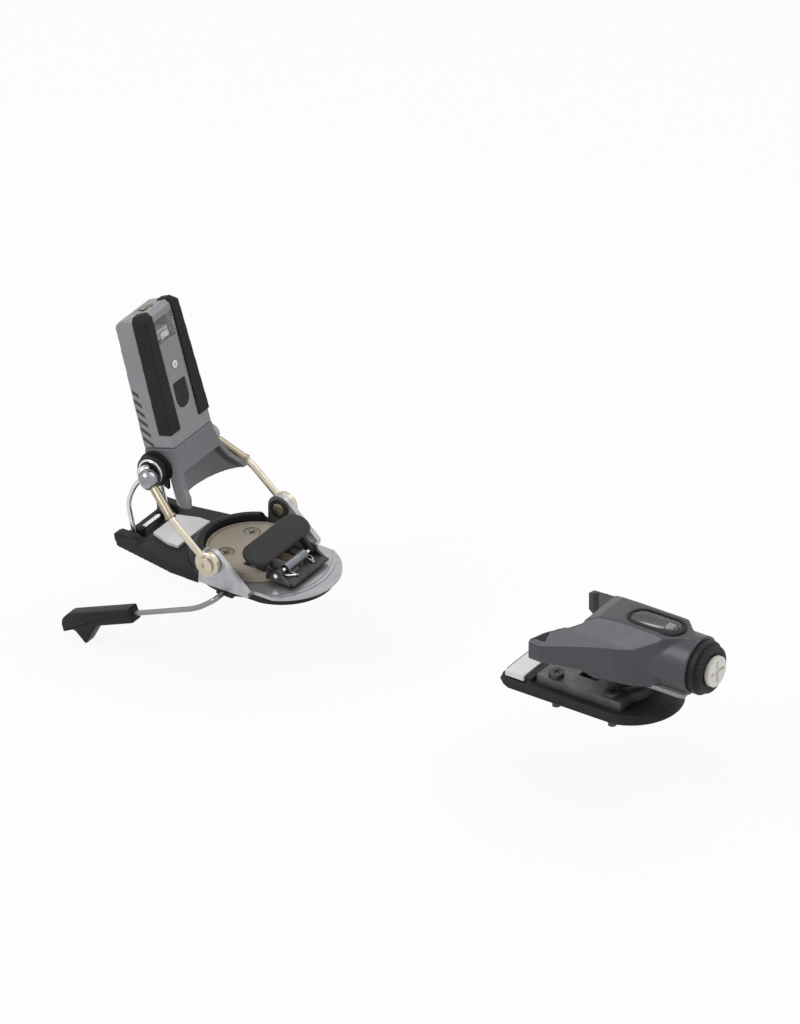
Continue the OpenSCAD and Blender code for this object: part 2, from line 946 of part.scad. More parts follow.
module cam_plates() {
    color("#1f1f21")
        at_tower()
            for (s = [-1, 1])
                difference() {
                    side_slab(s * cheek, s * (cheek + cam_t))
                        union() {
                            translate(local_pivot)
                                circle(r = drum_r + 1);
                            polygon([
                                local_pivot, [pivot_d + drum_r - 1, pivot_w - 2], [pivot_d + 7.5, pivot_w - 10],
                                [pivot_d + 6.5, pivot_w - 14], [pivot_d + 4, pivot_w - 12]]);
                        }
                    cross_bar(local_pivot, s * (cheek - 1), s * (cheek + cam_t + 1), axle_r + fit);
                }
}

// Half-width of the jaw at height w: it flares towards the wings
function flare(w, top, low) = top + (low - top) * pow(min(1, max(0, (tower_low - w) / (tower_low + jaw_drop))), 2);

// Outline of the jaw's front view between two heights
module jaw_front(top, low, w0, w1) {
    n = 9;
    ws = [for (i = [0 : n]) w0 + (w1 - w0) * i / n];
    polygon(concat(
        [for (i = [0 : n]) [flare(ws[i], top, low), ws[i]]],
        [for (i = [n : -1 : 0]) [-flare(ws[i], top, low), ws[i]]]));
}

// Half ellipse that is open to the front, in plan
module jaw_plan(front, depth, half) {
    n = 28;
    polygon([for (i = [0 : n]) [front - depth * sin(180 * i / n), half * cos(180 * i / n)]]);
}

module heel_jaw() {
    rim_front = 15;
    color("#606164")
        at_tower()
            difference() {
                union() {
                    intersection() {
                        translate([0, 0, -jaw_drop])
                            linear_extrude(tower_low + jaw_drop - 0.2)
                                jaw_plan(rim_front, rim_front + 8, jaw_w / 2);
                        front_slab(-40, 40)
                            jaw_front(tower_w / 2, jaw_w / 2, -jaw_drop - 1, tower_low);
                        side_slab(-jaw_w, jaw_w)
                            polygon([
                                [-7, tower_low], [tower_front_low, tower_low], [6.6, -2], [8, -10], [10, -17],
                                [rim_front - 1, -23], [rim_front, -jaw_drop], [-9, -jaw_drop], [-9, -16], [-7, -10]]);
                    }
                    for (s = [-1, 1])
                        side_slab(s * (tower_w / 2 - 6.5), s * tower_w / 2)
                            union() {
                                translate(local_pivot)
                                    circle(r = 8);
                                polygon([
                                    [tower_rear, tower_low - 0.2], [-1, tower_low - 0.2], [-1, -8],
                                    [pivot_d + 4, pivot_w - 6.9], [pivot_d - 7.8, pivot_w]]);
                            }
                }
                intersection() {
                    translate([0, 0, -jaw_drop - 1])
                        linear_extrude(jaw_drop + 1 - axle_r - 5)
                            jaw_plan(rim_front + 0.5, rim_front + 8.5 - jaw_t, jaw_w / 2 - jaw_t);
                    front_slab(-40, 40)
                        jaw_front(tower_w / 2 - jaw_t, jaw_w / 2 - jaw_t, -jaw_drop - 1, 0);
                }
                for (s = [-1, 1])
                    cross_bar(local_pivot, s * (cheek - 0.05), s * jaw_w, drum_r + 2.4);
                cross_bar(local_pivot, -jaw_w, jaw_w, axle_r + fit);
            }
}

// ---------- toe unit ----------

module at_toe() {
    translate([toe_x, 0, 0])
        children();
}

module toe_base_outline(g) {
    polygon([
        [toe_rear + 4 - g, -toe_w / 2 + 6], [toe_rear + 12, -toe_w / 2 + 1 - g],
        [toe_front - 24, -toe_w / 2 + 1 - g], [toe_front - 24, toe_w / 2 - 1 + g],
        [toe_rear + 12, toe_w / 2 - 1 + g], [toe_rear + 4 - g, toe_w / 2 - 6]]);
    intersection() {
        translate([toe_front - toe_w / 2, 0])
            circle(r = toe_w / 2 + g);
        translate([toe_front - 24, -toe_w / 2 + 1 - g])
            square([40, toe_w - 2 + 2 * g]);
    }
}

module toe_base() {
    color("#2d2d2e")
        at_toe()
            difference() {
                union() {
                    linear_extrude(toe_base_t)
                        toe_base_outline(0);
                    translate([0, 0, toe_base_t - 1])
                        linear_extrude(afd_top - toe_base_t + 0.2)
                            intersection() {
                                toe_base_outline(-2.5);
                                translate([afd_rear - 4, -toe_w])
                                    square([afd_front - afd_rear + 9, 2 * toe_w]);
                            }
                }
                translate([afd_rear, -toe_w, toe_base_t - 2])
                    cube([afd_front - afd_rear, 2 * toe_w, 20]);
                translate([toe_screw_x, 0, 0])
                    for (x = [0, toe_screw_dx], s = [-1, 1])
                        translate([x, s * toe_screw_dy / 2, -1])
                            cylinder(r = screw_r + fit, h = 20);
                translate([0, 0, -1])
                    cylinder(r = post_r - 2, h = 20);
            }
}

module toe_screws() {
    color("#77756f")
        at_toe_screws()
            mounting_screw(plate_top);
}

module slide_carriage() {
    color("#4b4b4d")
        at_toe()
            translate([afd_rear + gap, -toe_w / 2 + 4, toe_base_t - 2 + gap])
                cube([afd_front - afd_rear - 2 * gap, toe_w - 8, 2.6]);
}

module slide_pad() {
    color("#dcdcda")
        at_toe()
            translate([afd_rear + gap, 2.2 - toe_w / 2, toe_base_t + 0.9])
                cube([afd_front - afd_rear - 2 * gap, toe_w - 4.4, afd_top - toe_base_t - 0.9]);
}

module toe_chassis() {
    color("#595957")
        at_toe()
            difference() {
                union() {
                    translate([plate_rear, -toe_w / 2 + 6.5, plate_z - 0.2])
                        cube([plate_front - plate_rear, toe_w - 13, plate_top - plate_z + 0.2]);
                    translate([0, 0, plate_z - 0.2])
                        cylinder(r = post_r + 9, h = plate_top - plate_z + 0.2);
                }
                translate([plate_rear + 22, -12, plate_z - 1])
                    cube([14, 24, 20]);
                translate([toe_screw_x, 0, 0])
                    for (x = [0, toe_screw_dx], s = [-1, 1])
                        translate([x, s * toe_screw_dy / 2, 0])
                            cylinder(r = screw_r + fit, h = 20);
                cylinder(r = post_r - 2 + fit, h = 30);
            }
}

module toe_post() {
    color("#6e6e6c")
        at_toe()
            union() {
                translate([0, 0, toe_base_t - 4])
                    cylinder(r = post_r - 2.1, h = plate_top - toe_base_t + 4.1);
                translate([0, 0, plate_top])
                    cylinder(r = post_r + 4, h = 2);
                translate([0, 0, plate_top + 1.9])
                    cylinder(r = post_r, h = post_top - plate_top - 1.9);
            }
}

// Plan of the housing's middle and of its two swept wings
module housing_plan() {
    polygon([
        [-20, -20], [-6, -neck_y], [6, -neck_y], [20, -neck_y + 3], [34, -barrel_r + 3], [nose_x, -nose_y],
        [nose_x, nose_y], [34, barrel_r - 3], [20, neck_y - 3], [6, neck_y], [-6, neck_y], [-20, 20]]);
    for (s = [-1, 1])
        polygon([
            [4, s * neck_y], [-14, s * (neck_y + 4)], [wing_tip_x + 8, s * (wing_w / 2 + 0.6)],
            [wing_tip_x, s * wing_w / 2], [wing_tip_x - 1, s * (wing_w / 2 - 4)],
            [wing_tip_x + 5, s * (wing_w / 2 - 8)], [-26, s * 22], [-12, s * 14]]);
}

module housing_block() {
    intersection() {
        linear_extrude(toe_roof + 5)
            housing_plan();
        side_slab(-wing_w, wing_w)
            polygon([
                [wing_tip_x - 2, wing_z], [wing_tip_x - 2, wing_z + 11], [wing_tip_x + 6, wing_z + 16],
                [-24, toe_roof - 6], [-12, toe_roof - 1], [0, toe_roof], [30, toe_roof],
                [nose_x, barrel_z + barrel_r + 0.3], [nose_x, barrel_floor], [-6, barrel_floor], [-14, wing_z]]);
        front_slab(-60, 60)
            polygon([
                [-wing_w, barrel_floor - 1], [wing_w, barrel_floor - 1], [wing_w, wing_z + 12],
                [wing_w / 2, wing_z + 12], [neck_y - 3, toe_roof - 10], [13, toe_roof],
                [-13, toe_roof], [3 - neck_y, toe_roof - 10], [-wing_w / 2, wing_z + 12],
                [-wing_w, wing_z + 12]]);
    }
}

module housing_barrel(r, x0, x1) {
    translate([x0, 0, barrel_z])
        rotate([0, 90, 0])
            cylinder(r = r, h = x1 - x0);
}

module wing_pad_form(s, g) {
    translate([wing_tip_x - 3, s > 0 ? wing_w / 2 - 14 : -wing_w / 2 + pad_skin - g, wing_z - 1])
        cube([13 + g, 14 - pad_skin + g, 30]);
}

module toe_housing() {
    color("#525157")
        at_toe()
            difference() {
                union() {
                    housing_block();
                    intersection() {
                        housing_barrel(barrel_r, 4, barrel_len);
                        translate([0, -barrel_r, barrel_floor])
                            cube([barrel_len, 2 * barrel_r, 40]);
                    }
                }
                translate([0, 0, -1])
                    cylinder(r = post_r + fit, h = post_top + 1.4);
                translate([0, 0, -1])
                    cylinder(r = post_r + 4 + gap, h = plate_top + 2 + gap + 1);
                housing_barrel(barrel_bore, piston_x + 4, barrel_len - 6);
                housing_barrel(7 + gap, 0, piston_x + 5);
                housing_barrel(9 + fit, barrel_len - 7, barrel_len + 1);
                translate([12, -7, barrel_z])
                    cube([27.6, 14, toe_roof - barrel_z - 2.4]);
                window_form(0.1, toe_roof - 2.4, toe_roof + 4);
                window_form(-1.4, barrel_z, toe_roof);
                for (s = [-1, 1])
                    wing_pad_form(s, 0);
            }
}

module wing_pads() {
    color("#1d1d1f")
        at_toe()
            intersection() {
                housing_block();
                for (s = [-1, 1])
                    wing_pad_form(s, -0.1);
            }
}

// The long oval of the window in the roof
module window_form(g, z0, z1) {
    translate([0, 0, z0])
        linear_extrude(z1 - z0)
            union() {
                for (x = [12, 32])
                    translate([x, 0])
                        circle(r = 8 + g);
                translate([12, -8 - g])
                    square([20, 16 + 2 * g]);
            }
}

module toe_window() {
    color("#4a4c50")
        at_toe()
            window_form(0, toe_roof - 2.3, toe_roof - 0.2);
}

module toe_indicator() {
    color("#e5e4da")
        at_toe()
            difference() {
                union() {
                    translate([toe_nut_x, -10, barrel_z - 7])
                        cube([6, 20, 14]);
                    translate([toe_nut_x + 0.5, -5, barrel_z + 6])
                        cube([5, 10, toe_roof - barrel_z - 6 - 2.8]);
                }
                housing_barrel(3 + fit, toe_nut_x - 1, toe_nut_x + 7);
            }
}

module toe_setting_screw() {
    color("#e2e2df")
        at_toe()
            difference() {
                union() {
                    housing_barrel(3, toe_nut_x - 5, barrel_len);
                    housing_barrel(9, barrel_len - 5.7, barrel_len + 2);
                    housing_barrel(10, barrel_len + 9.6, barrel_len + 12);
                    housing_barrel(9, barrel_len + 1, barrel_len + 10);
                }
                translate([barrel_len + 12, 0, barrel_z])
                    rotate([0, 90, 0])
                        cross_slot(15, 1.6);
            }
}

module toe_collar() {
    color("#2b2b2c")
        at_toe()
            difference() {
                union() {
                    housing_barrel(barrel_r - 2, barrel_len + 0.1, barrel_len + 5);
                    housing_barrel(barrel_r - 4, barrel_len + 4, barrel_len + 9);
                }
                housing_barrel(9 + fit, barrel_len - 1, barrel_len + 12);
            }
}

module toe_spring() {
    color("#7c8084")
        at_toe()
            translate([piston_x + 8, 0, barrel_z])
                rotate([0, 90, 0])
                    coil(8.4, 3, toe_nut_x - piston_x - 8.2);
}

module toe_piston() {
    color("#9b9ea1")
        at_toe()
            translate([piston_x, 0, barrel_z])
                rotate([0, 90, 0])
                    difference() {
                        union() {
                            cylinder(r = 7, h = 5);
                            translate([0, 0, 4.6])
                                cylinder(r = 12.6, h = 3.2);
                            cylinder(r = 5.6, h = 12);
                        }
                        translate([0, 0, 8])
                            cylinder(r = 3.4, h = 10);
                    }
}

heel_base();
centre_disc();
heel_screws();
turntable();
tail_block();
tail_pad();
brake_bracket();
brake_hinge_pin();
brake_spring();
brake_pedal();
brake_wire_left();
brake_wire_right();
brake_foot_left();
brake_foot_right();
ear_bolts();
ear_caps();
side_arm_left();
side_arm_right();
arm_sleeve_left();
arm_sleeve_right();
arm_carrier_left();
arm_carrier_right();
pressure_screw_left();
pressure_screw_right();
rear_bail();
bail_roller();
heel_axle();
heel_jaw();
cam_plates();
tower_housing();
tower_rail_left();
tower_rail_right();
slot_plug();
face_screw();
heel_window();
heel_indicator();
heel_setting_screw();
heel_spring();
heel_piston();
toe_base();
toe_screws();
slide_carriage();
slide_pad();
toe_chassis();
toe_post();
toe_housing();
wing_pads();
toe_window();
toe_indicator();
toe_setting_screw();
toe_collar();
toe_spring();
toe_piston();
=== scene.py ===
# %% [markdown]
# # A downhill ski binding with a turntable heel
# The binding is two units on one ski. The heel unit stands at the origin: a turntable, two side arms and a
# tall spring tower that leans back. The toe unit sits 278 mm further forward. The solids come from the CAD
# frame, in metres, with +X to the ski's tip, +Y to the skier's left and +Z up. This lesson gives each solid
# its real finish, and swaps the solids that need softer edges or finer detail for computed surfaces.

# %% Load the frame
import bmesh
import bpy
import numpy as np
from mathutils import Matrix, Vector


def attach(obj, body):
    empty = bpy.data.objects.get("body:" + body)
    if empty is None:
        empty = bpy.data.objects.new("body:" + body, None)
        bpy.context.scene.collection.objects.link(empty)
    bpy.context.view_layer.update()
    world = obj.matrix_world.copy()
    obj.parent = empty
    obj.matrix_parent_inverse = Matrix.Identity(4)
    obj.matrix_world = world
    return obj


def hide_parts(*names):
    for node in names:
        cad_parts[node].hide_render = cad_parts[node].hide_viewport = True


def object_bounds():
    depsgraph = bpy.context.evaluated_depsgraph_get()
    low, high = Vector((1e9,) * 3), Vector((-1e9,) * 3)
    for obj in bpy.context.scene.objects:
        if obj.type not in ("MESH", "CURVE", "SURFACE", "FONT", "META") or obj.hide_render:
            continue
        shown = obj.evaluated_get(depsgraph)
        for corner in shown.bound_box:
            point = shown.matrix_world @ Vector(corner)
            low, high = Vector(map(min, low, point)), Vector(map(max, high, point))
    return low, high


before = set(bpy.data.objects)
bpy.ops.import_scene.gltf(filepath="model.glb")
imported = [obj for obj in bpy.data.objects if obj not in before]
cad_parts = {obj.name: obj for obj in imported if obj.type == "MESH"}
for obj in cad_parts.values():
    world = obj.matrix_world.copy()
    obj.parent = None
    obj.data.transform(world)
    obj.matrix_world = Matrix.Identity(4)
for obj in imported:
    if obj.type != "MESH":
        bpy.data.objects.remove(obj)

cad_low, cad_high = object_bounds()

# %% [markdown]
# ## Units and the tower's own frame
# The pieces below are measured in millimetres and turned into metres as they are put into a mesh. The tower
# leans back by 17 degrees about its foot, so its pieces are written in the tower's own directions: d forward,
# y across and w upwards along the tower. One turn takes them to the ski's directions. The other places are
# the toe's pivot and barrel axis, the ear that an arm hinges on, the bend in its rod, and the tower's pivot.

# %% Units and places
MM = 0.001
LEAN = np.radians(17.0)
TOWER_FOOT = np.array([-50.0, 0.0, 72.0])
TOE_X = 278.0
BARREL_Z = 40.5
ROD_Y = 43.25
EAR = np.array([-6.5, 0.0, 22.5])
BEND = np.array([-32.0, ROD_Y, 44.0])
KNOB = np.array([-59.54, 32.5, 63.86])
PIVOT = KNOB * [1, 0, 1]
SIDES = ((1, "left"), (-1, "right"))


def tower_place(points):
    """Tower (d, y, w) to ski (x, y, z): x = -50 + d cos17 - w sin17, z = 72 + d sin17 + w cos17."""
    d, y, w = points[..., 0], points[..., 1], points[..., 2]
    x = TOWER_FOOT[0] + d * np.cos(LEAN) - w * np.sin(LEAN)
    z = TOWER_FOOT[2] + d * np.sin(LEAN) + w * np.cos(LEAN)
    return np.stack([x, y, z], axis=-1)


print("tower top at", tower_place(np.array([0.0, 0.0, 97.0])).round(1))

# %% [markdown]
# ## From a grid of points to a closed mesh
# Every new piece is a grid: rows run along the piece and columns run round it. The grid's quads become faces,
# the first and last row are closed with one face each, and points that fall together at a pole or a seam are
# merged. The volume's sign tells whether the faces look outwards; if not, their order is turned round.

# %% Grid helper
SAME_POINT, GRID_SHARP = 2e-7, 35


def signed_volume(points, quads):
    """Sum over the quads of the volume of the two tetrahedra that each makes with the origin."""
    a, b, c, d = (points[quads[:, k]] for k in range(4))
    return (np.einsum("ij,ij->i", a, np.cross(b, c)) + np.einsum("ij,ij->i", a, np.cross(c, d))).sum() / 6


def quads_of(rows, columns, ring):
    """Quads (r, c), (r, c+1), (r+1, c+1), (r+1, c) of a grid that closes round its columns, and as a ring
    also from its last row back to its first."""
    r, c = np.meshgrid(np.arange(rows if ring else rows - 1), np.arange(columns), indexing="ij")
    m, n = (r + 1) % rows, (c + 1) % columns
    corners = [r * columns + c, r * columns + n, m * columns + n, m * columns + c]
    return np.stack(corners, axis=-1).reshape(-1, 4)


def merge_points(mesh, distance):
    """Merge the mesh's points that lie within the distance of each other, in metres."""
    merged = bmesh.new()
    merged.from_mesh(mesh)
    bmesh.ops.remove_doubles(merged, verts=merged.verts, dist=distance)
    merged.to_mesh(mesh)
    merged.free()


def hand_over(piece, body, sharp, stands_for):
    piece.data.shade_smooth()
    piece.data.set_sharp_from_angle(angle=np.radians(sharp))
    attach(piece, body)
    if stands_for:
        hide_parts(*stands_for)
    print(piece.name, len(piece.data.polygons), "faces")


def grid_piece(name, grids, body, material, ring=False, stands_for=()):
    """One object from closed grids of shape (rows, columns, 3) in millimetres. A ring has no end faces."""
    points, faces, start = [], [], 0
    for grid in grids:
        rows, columns = grid.shape[:2]
        flat = grid.reshape(-1, 3)
        quads = quads_of(rows, columns, ring)
        ends = [list(range(columns))[::-1], list(range((rows - 1) * columns, rows * columns))]
        closing = [] if ring else ends
        if signed_volume(flat - flat.mean(axis=0), quads) < 0:
            quads = quads[:, ::-1]
            closing = [face[::-1] for face in closing]
        points.append(flat)
        faces += (quads + start).tolist() + [[k + start for k in face] for face in closing]
        start += len(flat)
    mesh = bpy.data.meshes.new(name)
    mesh.from_pydata((np.concatenate(points) * MM).tolist(), [], faces)
    merge_points(mesh, SAME_POINT)
    mesh.materials.append(material)
    piece = bpy.data.objects.new(name, mesh)
    bpy.context.collection.objects.link(piece)
    hand_over(piece, body, GRID_SHARP, stands_for)

# %% [markdown]
# ## Turned, drawn and pressed shapes
# Three makers cover most hardware. A turned shape is a profile of (height, radius) pairs spun about an axis,
# as on a lathe. A bar is a circle carried along a path. A slab is an outline whose edge rolls over at the top
# and bottom, as on a moulded or tumbled part.

# %% Three makers of surfaces
def frame_along(axis):
    """Two directions at right angles to the axis and to each other, and the axis at length 1."""
    axis = axis / np.linalg.norm(axis)
    helper = np.array([0.0, 0.0, 1.0]) if abs(axis[2]) < 0.9 else np.array([1.0, 0.0, 0.0])
    side = np.cross(helper, axis)
    side /= np.linalg.norm(side)
    return side, np.cross(axis, side), axis


def turned(profile, origin, axis, columns=64, flutes=0, flute_depth=0.0):
    """Point = origin + h axis + r (cos t side + sin t up), for each (h, r) of the profile and each angle t.
    With flutes, r shrinks by flute_depth |sin(flutes t / 2)|^6, times the third number of the row."""
    profile = np.asarray(profile, float)
    side, up, axis = frame_along(np.asarray(axis, float))
    t = np.linspace(0, 2 * np.pi, columns, endpoint=False)
    r = np.repeat(profile[:, 1:2], columns, axis=1)
    if flutes:
        r = r - profile[:, 2:3] * flute_depth * np.abs(np.sin(flutes * t / 2))[None, :] ** 6
    ring = np.cos(t)[:, None] * side + np.sin(t)[:, None] * up
    return np.asarray(origin, float) + profile[:, 0][:, None, None] * axis + r[..., None] * ring


def rounded_path(corners, radius, steps=9):
    """The corners of a path, each swapped for an arc-like curve: (1-t)^2 a + 2t(1-t) corner + t^2 b."""
    corners = np.asarray(corners, float)
    radius = np.broadcast_to(np.asarray(radius, float), (len(corners) - 2,))[:, None]
    before, corner, after = corners[:-2], corners[1:-1], corners[2:]
    back, ahead = before - corner, after - corner
    a = corner + back / np.linalg.norm(back, axis=1, keepdims=True) * radius
    b = corner + ahead / np.linalg.norm(ahead, axis=1, keepdims=True) * radius
    t = np.linspace(0, 1, steps)[None, :, None]
    arcs = (1 - t) ** 2 * a[:, None] + 2 * t * (1 - t) * corner[:, None] + t ** 2 * b[:, None]
    return np.concatenate([corners[:1], arcs.reshape(-1, 3), corners[-1:]])


def bar(path, radius, columns=20, across=(0.0, 1.0, 0.0)):
    """A circle carried along a path that lies in a plane: its two directions are the plane's normal and
    the normal crossed with the path's own direction. The ends are rolled over by an eighth of the radius."""
    path = np.asarray(path, float)
    run = np.gradient(path, axis=0)
    run /= np.linalg.norm(run, axis=1, keepdims=True)
    across = np.asarray(across, float)
    up = np.cross(run, across)
    up /= np.linalg.norm(up, axis=1, keepdims=True)
    side = np.cross(up, run)
    t = np.linspace(0, 2 * np.pi, columns, endpoint=False)
    ring = radius * (np.cos(t)[None, :, None] * side[:, None] + np.sin(t)[None, :, None] * up[:, None])
    tube = path[:, None] + ring
    roll = radius / 8
    first = path[0] + ring[0] * (1 - 1 / 8)
    last = path[-1] + ring[-1] * (1 - 1 / 8)
    tube[0] += run[0] * roll
    tube[-1] -= run[-1] * roll
    return np.concatenate([first[None], tube, last[None]])


def rolled_slab(outline, low, high, roll, place, steps=4, crown=0.0):
    """Rows of the outline from low to high. Near each rim the outline moves inwards by
    roll (1 - sin a) while the height moves by roll (1 - cos a), a from 0 to 90 degrees. With a crown, three
    more rows shrink to k times the top's size and rise by crown (1 - k^2)."""
    outline = np.asarray(outline, float)
    run = np.roll(outline, -1, axis=0) - np.roll(outline, 1, axis=0)
    run /= np.linalg.norm(run, axis=1, keepdims=True) + 1e-9
    inward = np.stack([-run[:, 1], run[:, 0]], axis=1)
    area = np.sum(outline[:, 0] * np.roll(outline[:, 1], -1) - np.roll(outline[:, 0], -1) * outline[:, 1])
    inward *= np.sign(area)
    a = np.linspace(0, np.pi / 2, steps + 1)
    inset = np.concatenate([roll * (1 - np.sin(a)), roll * (1 - np.cos(a))])
    height = np.concatenate([low + roll * (1 - np.cos(a)), high - roll * (1 - np.sin(a))])
    flat = outline[None] + inset[:, None, None] * inward[None]
    rows = np.concatenate([flat, np.repeat(height[:, None, None], len(outline), axis=1)], axis=2)
    if crown:
        top = rows[-1]
        middle = top[:, :2].mean(axis=0)
        shrink = np.array([0.8, 0.55, 0.3])[:, None, None]
        cap = np.concatenate([middle + (top[None, :, :2] - middle) * shrink,
                              np.repeat(high + crown * (1 - shrink ** 2), len(outline), axis=1)], axis=2)
        rows = np.concatenate([rows, cap])
    return place(rows)


def round_outline(corners, radii, steps=7):
    """A closed outline whose corners are curves that start and end at the given distance from each corner."""
    corners = np.asarray(corners, float)
    radii = np.broadcast_to(np.asarray(radii, float), (len(corners),))[:, None]
    back, ahead = np.roll(corners, 1, axis=0) - corners, np.roll(corners, -1, axis=0) - corners
    a = corners + back / np.linalg.norm(back, axis=1, keepdims=True) * radii
    b = corners + ahead / np.linalg.norm(ahead, axis=1, keepdims=True) * radii
    t = np.linspace(0, 1, steps)[None, :, None]
    arcs = (1 - t) ** 2 * a[:, None] + 2 * t * (1 - t) * corners[:, None] + t ** 2 * b[:, None]
    return arcs.reshape(-1, 2)


print("makers ready")

# %% [markdown]
# ## Softening a machined solid
# A moulded housing has no sharp edge anywhere. A bevel trips over the many cut-outs of such a solid, so its
# copy is merged, measured into a fine even net of squares, and relaxed: each pass moves every point towards
# the mean of its neighbours, and then partly back, which rounds the edges and keeps the size.

# %% Softened copies
CAD_SEAM, NET_SHARP = 1e-6, 60
RELAX, SWELL = 0.5, -0.52


def relaxed(points, edges, passes):
    """point += RELAX (mean of neighbours - point), then the same with SWELL, for each pass."""
    count = np.bincount(edges.ravel(), minlength=len(points))[:, None]
    for factor in [RELAX, SWELL] * passes:
        total = np.stack([
            np.bincount(edges[:, 0], points[edges[:, 1], k], len(points))
            + np.bincount(edges[:, 1], points[edges[:, 0], k], len(points)) for k in range(3)], axis=1)
        points = points + factor * (total / count - points)
    return points


def softened(node, voxel, passes, body, material):
    """A copy of a solid, merged, netted with squares of the voxel's size in mm, and relaxed."""
    copy = bpy.data.objects.new("soft_" + node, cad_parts[node].data.copy())
    bpy.context.collection.objects.link(copy)
    merge_points(copy.data, CAD_SEAM)
    net = copy.modifiers.new("net", "REMESH")
    net.mode, net.voxel_size, net.adaptivity = "VOXEL", voxel * MM, 0.0
    seen = copy.evaluated_get(bpy.context.evaluated_depsgraph_get())
    mesh = bpy.data.meshes.new_from_object(seen)
    copy.modifiers.clear()
    copy.data = mesh
    points = np.empty(len(mesh.vertices) * 3)
    mesh.vertices.foreach_get("co", points)
    edges = np.empty(len(mesh.edges) * 2, dtype=np.int64)
    mesh.edges.foreach_get("vertices", edges)
    points = relaxed(points.reshape(-1, 3), edges.reshape(-1, 2), passes)
    mesh.vertices.foreach_set("co", points.ravel())
    mesh.update()
    mesh.materials.clear()
    mesh.materials.append(material)
    hand_over(copy, body, NET_SHARP, [node])

# %% [markdown]
# ## Finishes
# A finish starts from the shader's plain values. Three scales of noise in object coordinates then make it
# real: a broad one that shifts the colour as paint and plating do, a fine one that changes the roughness,
# and a grain that lifts the surface by a few hundredths of a millimetre.

# %% Finish maker
ROUGH_SPAN = 0.08
GRAIN_HEIGHT = 0.0002


def shade(r, g, b):
    """An 8-bit display colour as the linear colour that the shader wants."""
    c = np.array([r, g, b]) / 255
    linear = np.where(c <= 0.04045, c / 12.92, ((c + 0.055) / 1.055) ** 2.4)
    return (*linear, 1.0)


def finish(name, colour, rough, metallic=0.0, specular=0.5, coat=0.0, mottle=0.1, patch=60.0,
           grain=1500.0, relief=0.15, stretch=(1.0, 1.0, 1.0)):
    """colour x (1 +- mottle x broad noise), rough +- ROUGH_SPAN x fine noise, and a bump from the grain."""
    material = bpy.data.materials.new(name)
    material.use_nodes = True
    tree = material.node_tree
    shader = tree.nodes["Principled BSDF"]
    shader.inputs["Metallic"].default_value = metallic
    shader.inputs["Specular IOR Level"].default_value = specular
    shader.inputs["Coat Weight"].default_value = coat
    shader.inputs["Coat Roughness"].default_value = 0.25
    place = tree.nodes.new("ShaderNodeTexCoord")
    mapping = tree.nodes.new("ShaderNodeMapping")
    mapping.inputs["Scale"].default_value = stretch
    tree.links.new(place.outputs["Object"], mapping.inputs["Vector"])

    def noise(scale, detail):
        node = tree.nodes.new("ShaderNodeTexNoise")
        node.inputs["Scale"].default_value = scale
        node.inputs["Detail"].default_value = detail
        tree.links.new(mapping.outputs["Vector"], node.inputs["Vector"])
        return node

    dark = tuple(c * (1 - mottle) for c in colour[:3]) + (1.0,)
    light = tuple(min(1.0, c * (1 + mottle)) for c in colour[:3]) + (1.0,)
    base = tree.nodes.new("ShaderNodeValToRGB")
    first, last = base.color_ramp.elements
    first.position, first.color = 0.32, dark
    last.position, last.color = 0.68, light
    tree.links.new(noise(patch, 3.0).outputs["Fac"], base.inputs["Fac"])
    tree.links.new(base.outputs["Color"], shader.inputs["Base Color"])
    fine = tree.nodes.new("ShaderNodeMapRange")
    fine.inputs["To Min"].default_value = rough - ROUGH_SPAN
    fine.inputs["To Max"].default_value = rough + ROUGH_SPAN
    tree.links.new(noise(patch * 5, 4.0).outputs["Fac"], fine.inputs["Value"])
    tree.links.new(fine.outputs["Result"], shader.inputs["Roughness"])
    bump = tree.nodes.new("ShaderNodeBump")
    bump.inputs["Strength"].default_value = relief
    bump.inputs["Distance"].default_value = GRAIN_HEIGHT
    tree.links.new(noise(grain, 2.0).outputs["Fac"], bump.inputs["Height"])
    tree.links.new(bump.outputs["Normal"], shader.inputs["Normal"])
    return material


print("finish maker ready")

# %% [markdown]
# ## The finishes of this binding
# Glass-filled nylon is nearly black, dull and finely eroded. The plate and the small steel parts are zinc
# plated, so they have a pale broken sheen. The arms and sleeves are nickel over brushed steel, with a warm
# cast. The tower, jaw and toe housing carry one grey family of metallic paint under a satin coat, a little
# darker on the toe. The slide pad is slick white plastic.

# %% Make the finishes
black_nylon = finish("black_nylon", shade(33, 33, 35), 0.52, specular=0.22, mottle=0.18, grain=2200,
                     relief=0.3)
rail_rubber = finish("rail_rubber", shade(34, 34, 36), 0.62, specular=0.18, mottle=0.12, grain=2600,
                     relief=0.35)
pedal_nylon = finish("pedal_nylon", shade(42, 41, 41), 0.5, specular=0.25, mottle=0.15, grain=1900,
                     relief=0.3)
tan_disc = finish("tan_disc", shade(166, 156, 140), 0.4, specular=0.35, mottle=0.08, relief=0.2)
zinc_plate = finish("zinc_plate", shade(176, 176, 180), 0.36, metallic=0.85, patch=140, relief=0.1,
                    stretch=(1.0, 0.25, 1.0))
cast_steel = finish("cast_steel", shade(96, 96, 95), 0.45, metallic=0.6, mottle=0.2, patch=90, relief=0.3)
screw_steel = finish("screw_steel", shade(148, 141, 128), 0.34, metallic=0.8, mottle=0.15, patch=300,
                     relief=0.1)
dark_steel = finish("dark_steel", shade(70, 69, 66), 0.42, metallic=0.7, mottle=0.25, patch=160, relief=0.2)
warm_nickel = finish("warm_nickel", shade(206, 197, 178), 0.3, metallic=0.9, mottle=0.12, patch=120,
                     relief=0.03)
sleeve_bronze = finish("sleeve_bronze", shade(158, 149, 128), 0.34, metallic=0.9, mottle=0.12, patch=80,
                       relief=0.03)
chrome = finish("chrome", shade(214, 214, 216), 0.16, metallic=1.0, mottle=0.05, patch=200, relief=0.04)
